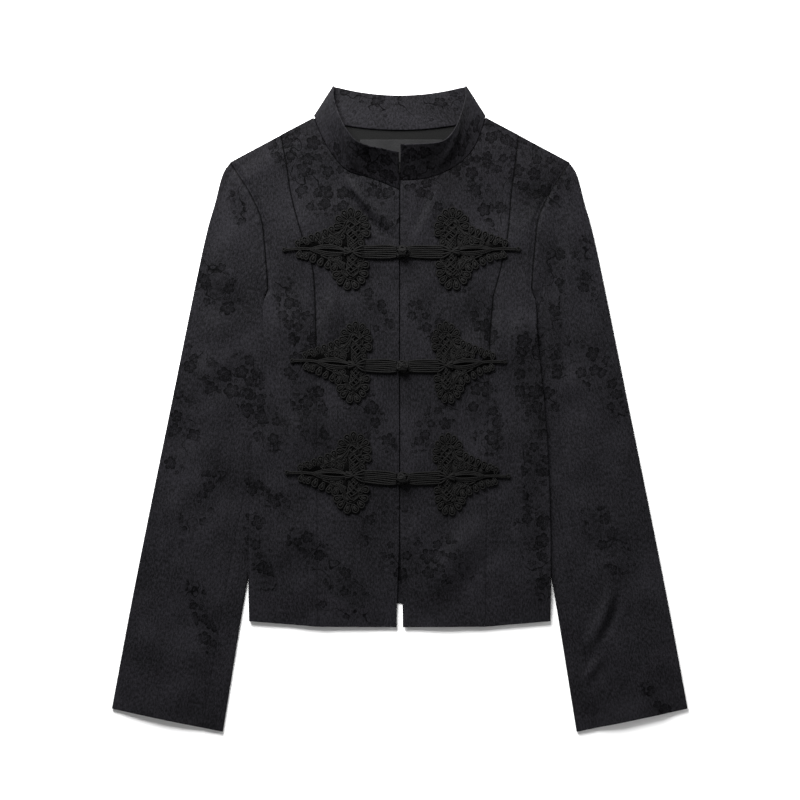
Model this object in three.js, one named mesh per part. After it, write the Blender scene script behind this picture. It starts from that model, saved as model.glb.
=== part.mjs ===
// Tang jacket laid flat with its front up: a cropped stand-collar jacket of black jacquard
// satin, with princess-seamed fronts, two-piece sleeves and three corded frog fastenings.
//
// Millimetres, +Z up. The cloth rests on z = 0, the collar points to +Y, and the centre front
// runs along x = 0. The wearer's right is at -X and the wearer's left at +X.
// Tables give distances from the centre line, so x is positive on both sides there.

import * as THREE from 'three';

// ---------- Cloth ----------
const wall = 1.2; // one ply of cloth with its interfacing
const collarWall = 1.6; // outer and inner collar, sewn and turned
const trimWall = 1.0; // facing and label
const seamGap = 0.3; // between pieces that are sewn together
const trimLift = 0.7; // between a panel and the corded trim that lies on it

// ---------- Heights of the laid cloth, each the lower face of a ply ----------
const floorLay = 0;
const middleLay = 3.2; // fronts, over the back
const sleevePressedLay = 2.2; // sleeve's upper ply where the body presses on it
const sleeveLoft = 2.6; // how much higher the upper ply rises in a free sleeve
const loftStart = 14; // from an edge to where the loft begins
const loftWidth = 36; // from there to its full height
const backOverSleeve = 4.0;
const frontOverSleeve = 5.9;
const backRamp = 60; // width of the back's slope down from a sleeve to the floor
const frontRamp = 85; // the same for the fronts
const rampClearance = 5; // the slope starts this far inside the sleeve's fold
const shoulderLay = 1.5; // fronts at the shoulder seam, right on the back
const neckPointLay = 2.6; // the same where the collar's thickness holds them apart
const shoulderDrop = 28; // width of the slope down to the shoulder seam
const facingLay = wall + seamGap;
const labelLay = facingLay + trimWall + seamGap;

// ---------- Plan of one half of the body ----------
const hemCentreY = -240;
const hemCornerY = -233.5;
const backHemCentreY = -214; // the back is shorter in the middle
const frontEdgeX = 0.6; // half the gap between the fronts
const hemParting = 3.4; // the same at the hem, where they part
const partingStartY = -130;
const shoulderTip = { x: 186.7, y: 271.4 };
const neckPoint = { x: 94.8, y: 319.8 };
const backNeckY = 307;

const sideSeam = [
  { x: 165.2, y: hemCornerY },
  { x: 165.8, y: -188 },
  { x: 164.2, y: -95 },
  { x: 159.5, y: -5 },
  { x: 151.3, y: 75 },
  { x: 149.3, y: 118 },
];
const armhole = [
  { x: 145.0, y: 130 },
  { x: 145.8, y: 148 },
  { x: 148.8, y: 182 },
  { x: 151.8, y: 207 },
  { x: 163.2, y: 234 },
  { x: 174.2, y: 252 },
  shoulderTip,
];
// Princess seam, hem to shoulder: how far it lies from the centre on each side.
const princess = [
  { y: hemCentreY + 0.6, right: 90, left: 94 },
  { y: -60, right: 91, left: 96.5 },
  { y: 72, right: 91.8, left: 98.8 },
  { y: 124, right: 93.2, left: 102.8 },
  { y: 156, right: 96, left: 111.5 },
  { y: 194, right: 108.6, left: 119 },
  { y: 236, right: 119.6, left: 122.5 },
  { y: 265, right: 124, left: 126.5 },
  { y: 300.9, right: 130.6, left: 130.6 },
];
const princessUnderarmRow = 3; // the row level with the underarm
// Front neck seam, centre to shoulder: its height on each side.
const frontNeck = [
  { x: frontEdgeX, right: 240.6, left: 250.5 },
  { x: 20, right: 248.6, left: 251.6 },
  { x: 34, right: 253.8, left: 254.2 },
  { x: 54, right: 259.4, left: 262 },
  { x: 64, right: 266.5, left: 268 },
  { x: 74, right: 278.6, left: 276.6 },
  { x: 82, right: 291.6, left: 287 },
  { x: 88.6, right: 305.4, left: 302 },
  { x: neckPoint.x, right: neckPoint.y, left: neckPoint.y },
];
const sideSteps = 9; // rows from hem to underarm
const armholeSteps = 11; // rows from underarm to shoulder
const centreColumns = 7; // facets across a centre front
const sideColumns = 5; // facets across a side front

// Largest folds of the fronts: soft ridges from one point to another, x signed.
const frontFolds = [
  { fromX: -72, fromY: 252, toX: -14, toY: 196, height: 1.4, width: 30 },
  { fromX: 38, fromY: 244, toX: 12, toY: 196, height: 1.0, width: 26 },
  { fromX: -80, fromY: 160, toX: -84, toY: 60, height: 1.0, width: 30 },
  { fromX: 30, fromY: -205, toX: 96, toY: -130, height: 1.2, width: 36 },
];

// ---------- Sleeves ----------
const sleeveOuter = [
  shoulderTip,
  { x: 194.4, y: 260.4 },
  { x: 204, y: 225 },
  { x: 212, y: 196.6 },
  { x: 252.7, y: -1.4 },
  { x: 292.3, y: -199.4 },
  { x: 316.5, y: -329.5 },
];
// Fold of the inner edge: it leaves the armhole, runs under the body and comes out at the hem.
const sleeveInner = [
  { x: 145.4, y: 129.8 },
  { x: 149.9, y: 117.6 },
  { x: 147, y: 107 },
  { x: 132, y: 82 },
  { x: 120, y: 48 },
  { x: 121, y: 8 },
  { x: 138, y: -60 },
  { x: 156, y: -130 },
  { x: 168, y: -193 },
  { x: 194.4, y: -355 },
];
const underarmSlope = 1.3; // how fast the body's rise fades above the underarm
// Rows from armhole to cuff, as shares of the outer and the inner edge: the outer edge
// leads at first, so that the rows swing from the armhole's slope to the cuff's.
const sleeveRows = [
  { outer: 0, inner: 0 },
  { outer: 0.03, inner: 0.012 },
  { outer: 0.07, inner: 0.026 },
  { outer: 0.12, inner: 0.05 },
  { outer: 0.17, inner: 0.085 },
  { outer: 0.23, inner: 0.13 },
  { outer: 0.29, inner: 0.19 },
  { outer: 0.36, inner: 0.26 },
  { outer: 0.43, inner: 0.34 },
  { outer: 0.5, inner: 0.43 },
  { outer: 0.58, inner: 0.53 },
  { outer: 0.67, inner: 0.64 },
  { outer: 0.78, inner: 0.76 },
  { outer: 0.89, inner: 0.88 },
  { outer: 1, inner: 1 },
];
const upperSeamStep = 9; // the seam between upper and under sleeve, in armhole steps
const lowerSeamStep = 4; // the same on the side that rests
const armholeEase = { shoulder: 45, underarm: 12 }; // how far the armhole shapes the sleeve
const capReach = 0.22; // share of the sleeve that follows the armhole's curve
const foldSteps = 4; // facets round a folded edge

// ---------- Collar ----------
const collarTop = [
  { x: 0.9, right: 280, left: 288.4, z: 21 },
  { x: 23, right: 284.4, left: 288.8, z: 23.5 },
  { x: 35, right: 286.8, left: 289.4, z: 24 },
  { x: 48, right: 292.4, left: 292.2, z: 23.5 },
  { x: 54.8, right: 300.4, left: 298, z: 22.5 },
  { x: 62.4, right: 312.4, left: 310.4, z: 19.5 },
  { x: 67.6, right: 325, left: 325, z: 15 },
  { x: 72, right: 341.5, left: 341.5, z: 9 },
  { x: 72.4, right: 354.7, left: 354.7, z: 5 },
];
const collarCornerX = 72.8;
const collarCornerY = 354.56;
const collarBackDip = 10; // how far the back's top edge dips between the corners
const collarSeamInset = 1.3; // from a neck seam to the middle of the collar's wall
const collarColumns = 3;
const collarBackSteps = 8; // from the side fold to the centre back

// ---------- Frogs and knots ----------
const knotX = 3;
const knotRadius = 6.4;
const knotHeight = 8.4;
const frogThickness = 2.6;
const frogs = [
  { place: 'upper', y: 174, right: 133, left: 130 },
  { place: 'middle', y: 47, right: 124, left: 115 },
  { place: 'lower', y: -76, right: 130, left: 119 },
];
// One frog half, from the knot outwards: reach along the band and half its depth there.
const frogOutline = [
  { at: 7, depth: 7.4 },
  { at: 34, depth: 8 },
  { at: 37, depth: 31 },
  { at: 43, depth: 42 },
  { at: 50, depth: 44.5 },
  { at: 58, depth: 44 },
  { at: 66, depth: 39 },
  { at: 78, depth: 31 },
  { at: 92, depth: 22 },
  { at: 106, depth: 13 },
  { at: 118, depth: 5 },
  { at: 121, depth: 1.6 },
  { at: 133, depth: 1.6 },
];
const frogBodyEnd = 66; // beyond this the outline shortens with the frog
const frogLowerShare = 0.96; // the lower half is a little shallower
const frogStep = 3.75; // half the pitch of the petal loops
const frogScallop = 1.2;

// ---------- Materials ----------
const finish = (color, roughness) => new THREE.MeshStandardMaterial({ color, roughness, metalness: 0 });
const finishes = {
  jacquard: () => finish(0x26262a, 0.55),
  facing: () => finish(0x2b2b2e, 0.6),
  label: () => finish(0x4a4a4d, 0.4),
  cord: () => finish(0x17171a, 0.8),
};

// ---------- Small helpers ----------
const { lerp, smoothstep } = THREE.MathUtils;

// Straight interpolation in a table of rows, sorted either way by one column.
function lookUp(rows, from, value, to) {
  const ordered = rows[0][from] < rows[rows.length - 1][from] ? rows : [...rows].reverse();
  if (value <= ordered[0][from]) return ordered[0][to];
  for (let i = 1; i < ordered.length; i += 1) {
    const [before, after] = [ordered[i - 1], ordered[i]];
    if (value <= after[from]) {
      return lerp(before[to], after[to], (value - before[from]) / (after[from] - before[from]));
    }
  }
  return ordered[ordered.length - 1][to];
}

// Evenly spaced points on a smooth curve through the given points, in plan.
function rail(points, steps) {
  const curve = new THREE.CatmullRomCurve3(
    points.map((p) => new THREE.Vector3(p.x, p.y, p.z ?? 0)),
    false,
    'centripetal',
  );
  return Array.from({ length: steps + 1 }, (_, i) => curve.getPointAt(i / steps));
}

// One closed solid from rows of paired points: the two faces of the wall, in the same order.
function wallSolid(rows) {
  const count = rows[0].upper.length;
  const ring = 2 * count;
  const positions = rows.flatMap(({ upper, lower }) =>
    [...upper, ...[...lower].reverse()].flatMap((p) => [p.x, p.y, p.z]),
  );
  const index = [];
  const quad = (a, b, c, d) => index.push(a, b, c, a, c, d);
  for (let r = 0; r + 1 < rows.length; r += 1) {
    for (let k = 0; k < ring; k += 1) {
      const next = (k + 1) % ring;
      quad(r * ring + k, r * ring + next, (r + 1) * ring + next, (r + 1) * ring + k);
    }
  }
  const last = (rows.length - 1) * ring;
  for (let k = 0; k + 1 < count; k += 1) {
    quad(k, ring - 1 - k, ring - 2 - k, k + 1);
    quad(last + k, last + k + 1, last + ring - 2 - k, last + ring - 1 - k);
  }
  const geometry = new THREE.BufferGeometry();
  geometry.setAttribute('position', new THREE.Float32BufferAttribute(positions, 3));
  geometry.setIndex(index);
  if (signedVolume(geometry) < 0) geometry.setIndex(index.reverse());
  geometry.computeVertexNormals();
  return geometry;
}

function signedVolume(geometry) {
  const corner = (i) => new THREE.Vector3().fromBufferAttribute(geometry.attributes.position, i);
  const index = geometry.index.array;
  let volume = 0;
  for (let i = 0; i < index.length; i += 3) {
    volume += corner(index[i]).dot(corner(index[i + 1]).cross(corner(index[i + 2]))) / 6;
  }
  return volume;
}

// ---------- How the cloth lies: height of each ply's lower face ----------
const bodyEdgeX = (y) => (y < 118 ? lookUp(sideSeam, 'y', y, 'x') : lookUp(armhole, 'y', y, 'x'));
const sleeveOuterX = (y) => lookUp(sleeveOuter, 'y', y, 'x');
const sleeveHidden = sleeveInner.slice(1);

function sleeveInnerX(y) {
  const above = Math.max(0, y - sleeveHidden[0].y);
  return lookUp(sleeveHidden, 'y', y, 'x') + underarmSlope * above;
}

// 1 where the body lies on a sleeve, 0 in the middle and at the hem.
function overSleeve(x, y, ramp) {
  const fold = sleeveInnerX(y) - rampClearance;
  return smoothstep(Math.abs(x), fold - ramp, fold) * smoothstep(y, -236, -188);
}

const backLay = (x, y) => lerp(floorLay, backOverSleeve, overSleeve(x, y, backRamp));

function foldHeight(x, y, fold) {
  const alongX = fold.toX - fold.fromX;
  const alongY = fold.toY - fold.fromY;
  const length = Math.hypot(alongX, alongY);
  const t = ((x - fold.fromX) * alongX + (y - fold.fromY) * alongY) / length ** 2;
  const across = Math.abs((x - fold.fromX) * alongY - (y - fold.fromY) * alongX) / length;
  if (t <= 0 || t >= 1 || across >= fold.width / 2) return 0;
  return fold.height * Math.sin(Math.PI * t) * Math.cos((Math.PI * across) / fold.width) ** 2;
}

function frontLay(x, y) {
  const side = Math.abs(x);
  const open = lerp(middleLay, frontOverSleeve, overSleeve(x, y, frontRamp));
  const folds = frontFolds.reduce((sum, fold) => sum + foldHeight(x, y, fold), 0);
  const slope = (neckPoint.y - shoulderTip.y) / (shoulderTip.x - neckPoint.x);
  const below = (neckPoint.y - slope * (side - neckPoint.x) - y) * Math.cos(Math.atan(slope));
  const seam = lerp(neckPointLay, shoulderLay, smoothstep(side, neckPoint.x, 150));
  return lerp(seam, open + folds, smoothstep(below, 0, shoulderDrop));
}

function sleeveLay(x, y) {
  const inner = Math.max(bodyEdgeX(y), y < sleeveHidden[0].y ? sleeveInnerX(y) : 0);
  const side = Math.abs(x);
  const fromInner = smoothstep(side - inner, loftStart, loftStart + loftWidth);
  const fromOuter = smoothstep(sleeveOuterX(y) - side, 2, 2 + loftWidth);
  return sleevePressedLay + sleeveLoft * fromInner * fromOuter;
}

// ---------- Panels ----------
const signOf = { right: -1, left: 1 };

// Points of a flat ply between two rails, each with the ply's lower face at lay(x, y).
function panelRows(railA, railB, columns, lay, thickness) {
  return railA.map((a, r) => {
    const across = columns.map((share) => a.clone().lerp(railB[r], share));
    return {
      lower: across.map((p) => new THREE.Vector3(p.x, p.y, lay(p.x, p.y))),
      upper: across.map((p) => new THREE.Vector3(p.x, p.y, lay(p.x, p.y) + thickness)),
    };
  });
}

const even = (steps) => Array.from({ length: steps + 1 }, (_, i) => i / steps);

// The body's side edge from hem to shoulder tip, on one side.
function bodyEdge(side) {
  const below = rail(sideSeam, sideSteps);
  const above = rail(armhole, armholeSteps);
  return [...below, ...above].map((p) => new THREE.Vector3(signOf[side] * p.x, p.y, 0));
}

function princessRail(side) {
  const points = princess.map((row) => ({ x: row[side], y: row.y }));
  const below = rail(points.slice(0, princessUnderarmRow + 1), sideSteps);
  const above = rail(points.slice(princessUnderarmRow), armholeSteps + 1).slice(1);
  return [...below, ...above].map((p) => new THREE.Vector3(signOf[side] * p.x, p.y, 0));
}

const neckRail = (side) => rail(
  frontNeck.map((row) => ({ x: row.x, y: row[side] })),
  armholeSteps + 1,
);

function frontEdgeRail(side) {
  const neck = neckRail(side);
  const below = even(sideSteps).map((share) => {
    const y = lerp(hemCentreY, neck[0].y, share);
    const x = lerp(hemParting, frontEdgeX, smoothstep(y, hemCentreY, partingStartY));
    return new THREE.Vector3(x, y, 0);
  });
  return [...below, ...neck.slice(1)].map((p) => new THREE.Vector3(signOf[side] * p.x, p.y, 0));
}

// Moves a rail sideways by a distance, away from the centre line for a positive one.
const shifted = (points, side, by) => points.map(
  (p) => new THREE.Vector3(p.x + signOf[side] * by, p.y, p.z),
);

function frontCentre(side) {
  const seam = shifted(princessRail(side), side, -seamGap / 2);
  return wallSolid(panelRows(frontEdgeRail(side), seam, even(centreColumns), frontLay, wall));
}

// Turns a panel's side edge towards the other ply, to meet it at the side seam.
// Above the underarm the turn opens out flat, and the edge is sewn to the sleeve.
function turnedEdge(edge, inwards, turn, facing) {
  const radius = (frontLay(edge.x, edge.y) - backLay(edge.x, edge.y)) / 2;
  const length = radius * 1.38;
  const angle = Math.max(0.02, 1.38 * turn);
  const reach = (length * Math.sin(angle)) / angle;
  const middle = (facing > 0 ? frontLay(edge.x, edge.y) : backLay(edge.x, edge.y)) + wall / 2;
  return even(3).map((share) => {
    const a = angle * share;
    const out = (length * Math.sin(a)) / angle - reach;
    const drop = (length * (1 - Math.cos(a))) / angle;
    const centre = new THREE.Vector3(edge.x - inwards * out, edge.y, middle - facing * drop);
    const normal = new THREE.Vector3(-inwards * Math.sin(a), 0, facing * Math.cos(a));
    return {
      outer: centre.clone().addScaledVector(normal, wall / 2),
      inner: centre.clone().addScaledVector(normal, -wall / 2),
      reach,
    };
  });
}

const sideTurn = (row) => (row < sideSteps ? 1 : row === sideSteps ? 0.5 : 0);

function frontSide(side) {
  const seam = shifted(princessRail(side), side, seamGap / 2);
  const edge = bodyEdge(side);
  const inwards = -signOf[side];
  const turned = edge.map((p, r) => turnedEdge(p, inwards, sideTurn(r), 1));
  const flatEdge = edge.map((p, r) => new THREE.Vector3(p.x + inwards * turned[r][0].reach, p.y, 0));
  const rows = panelRows(seam, flatEdge, even(sideColumns), frontLay, wall);
  rows.forEach((row, r) => {
    row.upper = [...row.upper.slice(0, -1), ...turned[r].map((p) => p.outer)];
    row.lower = [...row.lower.slice(0, -1), ...turned[r].map((p) => p.inner)];
  });
  return wallSolid(rows);
}

// Top line of the back: shoulders and back neck.
function backTopY(x) {
  const side = Math.abs(x);
  if (side <= neckPoint.x) return backNeckY + (neckPoint.y - backNeckY) * (side / neckPoint.x) ** 2;
  return lerp(neckPoint.y, shoulderTip.y, (side - neckPoint.x) / (shoulderTip.x - neckPoint.x));
}

const backHemY = (share) => lerp(backHemCentreY, hemCornerY, Math.abs(share) ** 3);
const neckShare = neckPoint.x / shoulderTip.x;
const halfColumns = [0, 0.26, neckShare, 0.64, 0.74, 0.83, 0.92, 1];
const backColumns = [...halfColumns.slice(1).reverse().map((share) => -share), ...halfColumns];

function backPanel() {
  const edges = { right: bodyEdge('right'), left: bodyEdge('left') };
  const rows = edges.left.map((edge, r) => {
    const rise = (edge.y - hemCornerY) / (shoulderTip.y - hemCornerY);
    const turned = {};
    for (const side of ['right', 'left']) {
      turned[side] = turnedEdge(edges[side][r], -signOf[side], sideTurn(r), -1);
    }
    const halfWidth = edge.x - turned.left[0].reach;
    const across = backColumns.slice(1, -1).map((share) => {
      const x = share * halfWidth;
      const y = lerp(backHemY(share), backTopY(share * shoulderTip.x), rise);
      return new THREE.Vector3(x, y, backLay(x, y));
    });
    const face = (lift, key) => [
      ...[...turned.right].reverse().map((p) => p[key]),
      ...across.map((p) => new THREE.Vector3(p.x, p.y, p.z + lift)),
      ...turned.left.map((p) => p[key]),
    ];
    return { upper: face(wall, 'inner'), lower: face(0, 'outer') };
  });
  return wallSolid(rows);
}

const facingHalfWidth = 78;
const facingDepth = 48;

function neckFacing() {
  const across = even(12).map((share) => lerp(-facingHalfWidth, facingHalfWidth, share));
  const edge = (down) => across.map((x) => new THREE.Vector3(x, backTopY(x) - down, 0));
  return wallSolid(panelRows(edge(1), edge(facingDepth), even(2), () => facingLay, trimWall));
}

const labelPlace = { fromX: -43.5, toX: 46.5, fromY: 270.5, toY: 295.6 };

function neckLabel() {
  const { fromX, toX, fromY, toY } = labelPlace;
  const edge = (y) => [fromX, toX].map((x) => new THREE.Vector3(x, y, 0));
  return wallSolid(panelRows(edge(fromY), edge(toY), [0, 1], () => labelLay, trimWall));
}

// ---------- Sleeves ----------
// Plan points of one sleeve: rows from the armhole to the cuff, columns from the outer edge
// to the inner one, at the same steps as the armhole so that the seam's points agree.
function sleevePlan() {
  const outer = new THREE.CatmullRomCurve3(
    sleeveOuter.map((p) => new THREE.Vector3(p.x, p.y, 0)), false, 'centripetal',
  );
  const inner = new THREE.CatmullRomCurve3(
    sleeveInner.map((p) => new THREE.Vector3(p.x, p.y, 0)), false, 'centripetal',
  );
  const seam = rail(armhole, armholeSteps).reverse();
  const away = new THREE.Vector3(1.5 * seamGap, 0, 0);
  return sleeveRows.map((row) => {
    const from = outer.getPointAt(row.outer).add(away.clone().multiplyScalar(1 - row.outer));
    const to = inner.getPointAt(row.inner);
    const hold = Math.max(0, 1 - row.outer / capReach) ** 2;
    const points = seam.map((p, i) => {
      const u = i / armholeSteps;
      const chord = seam[0].clone().lerp(seam[armholeSteps], u);
      const bulge = p.clone().sub(chord).multiplyScalar(hold);
      return from.clone().lerp(to, u).add(bulge);
    });
    const moved = { outer: row.outer * outer.getLength(), inner: row.inner * inner.getLength() };
    return { moved, points, seam };
  });
}

// Lower face of the upper ply at one plan point of a sleeve.
function upperPlyLay({ moved, points, seam }, step) {
  const p = points[step];
  const u = step / armholeSteps;
  const ease = lerp(armholeEase.shoulder, armholeEase.underarm, u ** 3);
  const held = 1 - smoothstep(lerp(moved.outer, moved.inner, u), 0, ease);
  return lerp(sleeveLay(p.x, p.y), frontLay(seam[step].x, seam[step].y), held);
}

// One row of a sleeve piece: along the upper ply to a folded edge, round it and back below.
// Steps count from the outer edge; edgeStep is 0 for the outer fold or the last for the inner.
function sleeveRow(row, edgeStep, upperStep, lowerStep) {
  const inwards = edgeStep === 0 ? 1 : -1;
  const { points } = row;
  const edge = points[edgeStep];
  const towards = points[edgeStep + inwards].clone().sub(edge).normalize();
  const high = upperPlyLay(row, edgeStep) + wall / 2;
  const radius = (high - wall / 2) / 2;
  const outer = [];
  const inner = [];
  const add = (centre, normal) => {
    outer.push(centre.clone().addScaledVector(normal, wall / 2));
    inner.push(centre.clone().addScaledVector(normal, -wall / 2));
  };
  const up = new THREE.Vector3(0, 0, 1);
  const trimmed = (step, otherEdge) => {
    // The last point of a piece stops half a seam gap short of the seam.
    const p = points[step].clone();
    if (otherEdge) p.add(points[step - inwards].clone().sub(p).setLength(seamGap / 2));
    return p;
  };
  for (let step = upperStep; step !== edgeStep; step -= inwards) {
    const p = trimmed(step, step === upperStep);
    p.z = upperPlyLay(row, step) + wall / 2;
    add(p, up);
  }
  for (let k = 0; k <= foldSteps; k += 1) {
    const angle = (Math.PI * k) / foldSteps;
    const centre = edge.clone().addScaledVector(towards, radius + wall / 2 - radius * Math.sin(angle));
    centre.z = wall / 2 + radius + radius * Math.cos(angle);
    add(centre, towards.clone().multiplyScalar(-Math.sin(angle)).addScaledVector(up, Math.cos(angle)));
  }
  for (let step = edgeStep + inwards; step !== lowerStep + inwards; step += inwards) {
    const p = trimmed(step, step === lowerStep);
    p.z = wall / 2;
    add(p, up.clone().negate());
  }
  return { upper: outer, lower: inner };
}

function sleevePiece(side, edgeStep) {
  const rows = sleevePlan().map((row) => sleeveRow(row, edgeStep, upperSeamStep, lowerSeamStep));
  if (side === 'right') {
    for (const { upper, lower } of rows) [...upper, ...lower].forEach((p) => { p.x = -p.x; });
  }
  return wallSolid(rows);
}

// ---------- Collar ----------
// Base and top points of the collar's middle surface, from one front end round the side fold
// to the centre back.
function collarHalf(side) {
  const sign = signOf[side];
  const neck = neckRail(side);
  const top = rail(
    collarTop.map((row) => ({ x: row.x, y: row[side], z: row.z })),
    armholeSteps + 1,
  );
  const stations = neck.slice(0, -1).map((p, i) => {
    const toNeck = new THREE.Vector3(-p.x / 2, neckPoint.y + 20 - p.y, 0).setLength(collarSeamInset);
    const inset = p.clone().add(toNeck);
    inset.z = frontLay(p.x, p.y) + collarWall / 2;
    return { base: inset, top: top[i] };
  });
  const cornerTop = { x: collarCornerX, y: collarCornerY, high: 5, low: collarWall / 2 };
  const cornerBase = {
    x: neckPoint.x - 0.6, y: neckPoint.y + 1.4, high: neckPointLay + collarWall / 2 + 0.2, low: collarWall / 2,
  };
  const foldLine = new THREE.Vector3(cornerTop.x - cornerBase.x, cornerTop.y - cornerBase.y, 0);
  const outwards = new THREE.Vector3(foldLine.y, -foldLine.x, 0).normalize();
  const onFold = (corner, angle) => {
    const radius = (corner.high - corner.low) / 2;
    const p = new THREE.Vector3(corner.x, corner.y, 0);
    p.addScaledVector(outwards, radius * (Math.sin(angle) - 1));
    p.z = corner.low + radius + radius * Math.cos(angle);
    return p;
  };
  for (const share of even(6)) {
    stations.push({ base: onFold(cornerBase, Math.PI * share), top: onFold(cornerTop, Math.PI * share) });
  }
  for (const share of even(collarBackSteps).slice(1)) {
    const baseX = lerp(cornerBase.x - 2, 0, share);
    const topX = lerp(cornerTop.x - 2, 0, share);
    const dip = collarBackDip * (1 - (topX / collarCornerX) ** 2);
    stations.push({
      base: new THREE.Vector3(baseX, backTopY(baseX) + 1, collarWall / 2),
      top: new THREE.Vector3(topX, collarCornerY - dip, collarWall / 2),
    });
  }
  for (const { base, top: upper } of stations) {
    base.x *= sign;
    upper.x *= sign;
  }
  return stations;
}

function collar() {
  const stations = [...collarHalf('right'), ...collarHalf('left').reverse().slice(1)];
  const grid = stations.map(({ base, top }) => even(collarColumns).map((s) => base.clone().lerp(top, s)));
  const rows = grid.map((points, i) => {
    const before = grid[Math.max(0, i - 1)];
    const after = grid[Math.min(grid.length - 1, i + 1)];
    const normals = points.map((p, j) => {
      const along = after[j].clone().sub(before[j]);
      const up = points[points.length - 1].clone().sub(points[0]);
      return along.cross(up).normalize();
    });
    const moved = (by) => points.map((p, j) => p.clone().addScaledVector(normals[j], by));
    return { upper: moved(collarWall / 2), lower: moved(-collarWall / 2) };
  });
  return wallSolid(rows);
}

// ---------- Frogs ----------
function frogHalf(side, frog) {
  const sign = signOf[side];
  const full = frogOutline[frogOutline.length - 1].at;
  const squeeze = (frog[side] - frogBodyEnd) / (full - frogBodyEnd);
  const first = frogOutline[0].at;
  const steps = Math.round((full - first) / frogStep);
  const rows = even(steps).map((share, i) => {
    const at = lerp(first, full, share);
    const onBody = at > 36 && at < 119;
    const depth = lookUp(frogOutline, 'at', at, 'depth') + (onBody ? frogScallop * (i % 2 ? 1 : -1) : 0);
    const reach = at < frogBodyEnd ? at : frogBodyEnd + (at - frogBodyEnd) * squeeze;
    const x = knotX + sign * reach;
    const across = [depth, 0, -depth * frogLowerShare].map((y) => new THREE.Vector3(x, frog.y + y, 0));
    const raised = (lift) => across.map((p) => {
      const z = frontLay(p.x, p.y) + wall + trimLift + lift;
      return new THREE.Vector3(p.x, p.y, z);
    });
    return { upper: raised(frogThickness), lower: raised(0) };
  });
  return wallSolid(rows);
}

// A knot button: a ball of tied cord, flattened where it sits on the fronts.
function knot(frog) {
  const base = frontLay(knotX, frog.y) + wall + trimLift;
  const profile = even(8).map((share) => {
    const angle = Math.PI * share;
    const z = (knotHeight / 2) * (1 - Math.cos(angle));
    return new THREE.Vector2(knotRadius * Math.sin(angle) ** 0.8, z);
  });
  profile[0].x = 0;
  profile[profile.length - 1].x = 0;
  const geometry = new THREE.LatheGeometry(profile, 14);
  geometry.rotateX(Math.PI / 2);
  geometry.translate(knotX, frog.y, base);
  return geometry;
}

// ---------- The jacket ----------
const jacket = new THREE.Group();

function add(name, geometry, material) {
  const mesh = new THREE.Mesh(geometry, finishes[material]());
  mesh.name = name;
  jacket.add(mesh);
}

add('back', backPanel(), 'jacquard');
for (const side of ['right', 'left']) {
  add(`front_centre_${side}`, frontCentre(side), 'jacquard');
  add(`front_side_${side}`, frontSide(side), 'jacquard');
  add(`sleeve_upper_${side}`, sleevePiece(side, 0), 'jacquard');
  add(`sleeve_under_${side}`, sleevePiece(side, armholeSteps), 'jacquard');
}
add('collar', collar(), 'jacquard');
add('back_neck_facing', neckFacing(), 'facing');
add('neck_label', neckLabel(), 'label');
for (const frog of frogs) {
  add(`frog_${frog.place}_right`, frogHalf('right', frog), 'cord');
  add(`frog_${frog.place}_left`, frogHalf('left', frog), 'cord');
  add(`knot_${frog.place}`, knot(frog), 'cord');
}

export default jacket;
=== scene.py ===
# Tang jacket laid flat: black jacquard satin shells, stand collar, corded frogs and knot
# buttons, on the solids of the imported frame. Sizes are in millimetres up to the mesh makers,
# which write metres. The wearer's right is at -X and the wearer's left at +X.
import math
import random

import bpy
import numpy as np
from mathutils import Matrix, Vector


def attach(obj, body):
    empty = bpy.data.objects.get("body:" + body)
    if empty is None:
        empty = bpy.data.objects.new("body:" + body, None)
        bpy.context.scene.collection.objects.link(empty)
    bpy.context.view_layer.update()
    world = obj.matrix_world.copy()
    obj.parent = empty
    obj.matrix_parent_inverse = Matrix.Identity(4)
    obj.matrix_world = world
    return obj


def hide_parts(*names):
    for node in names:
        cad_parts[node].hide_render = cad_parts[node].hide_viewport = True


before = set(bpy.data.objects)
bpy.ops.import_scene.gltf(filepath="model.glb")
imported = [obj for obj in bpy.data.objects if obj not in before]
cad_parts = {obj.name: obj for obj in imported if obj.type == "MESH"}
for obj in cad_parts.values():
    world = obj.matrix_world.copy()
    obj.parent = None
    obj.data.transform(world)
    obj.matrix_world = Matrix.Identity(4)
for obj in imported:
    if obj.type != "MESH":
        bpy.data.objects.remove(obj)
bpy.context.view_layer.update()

MM = 0.001
SIGN = {"right": -1, "left": 1}

# ---------- Cloth sizes ----------
CLOTH = 1.0  # visible thickness of a panel
COLLAR_CLOTH = 1.4
TRIM_CLOTH = 0.7
EDGE_ROUND = 0.6  # radius of a folded edge
SEAM_DIP = 0.38  # how far cloth sinks at a sewn seam
SEAM_DIP_WIDTH = 2.2
SEAM_GAP = -0.4  # less than none: the edges overlap a little under the stitching
SEAM_SHADE = (0.25, 1.3)  # distances from a seam, from its painted dark line of shade to the plain cloth
SEAM_SHADE_LOW = 0.22  # share of the dark line that is left low on the body
SEAM_SHADE_FADE_Y = (-10, 110)  # y from which, and to which, the line grows to its full dark
ARMHOLE_DIP = 2.2  # an armhole seam sinks this many times as far as the others
PANEL_ROW_STEP = 3.0
BACK_ROW_STEP = 4.5

# ---------- Heights of the laid cloth: the lower face of each ply ----------
MIDDLE_LAY = 3.4
SLEEVE_PRESSED_LAY = 2.2
SLEEVE_LOFT = 2.6
LOFT_START = 14
LOFT_WIDTH = 36
BACK_OVER_SLEEVE = 4.0
FRONT_OVER_SLEEVE = 5.9
BACK_RAMP = 60
FRONT_RAMP = 85
RAMP_CLEARANCE = 5
SHOULDER_LAY = 1.5
NECK_POINT_LAY = 2.6
SHOULDER_DROP = 28
FACING_LAY = 1.5
LABEL_LAY = 2.8
FACING_HALF = 78
FACING_DEPTH = 47
LABEL_SIZE = (90, 25)
LABEL_CORNER = (-43.5, 295.6)

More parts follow.
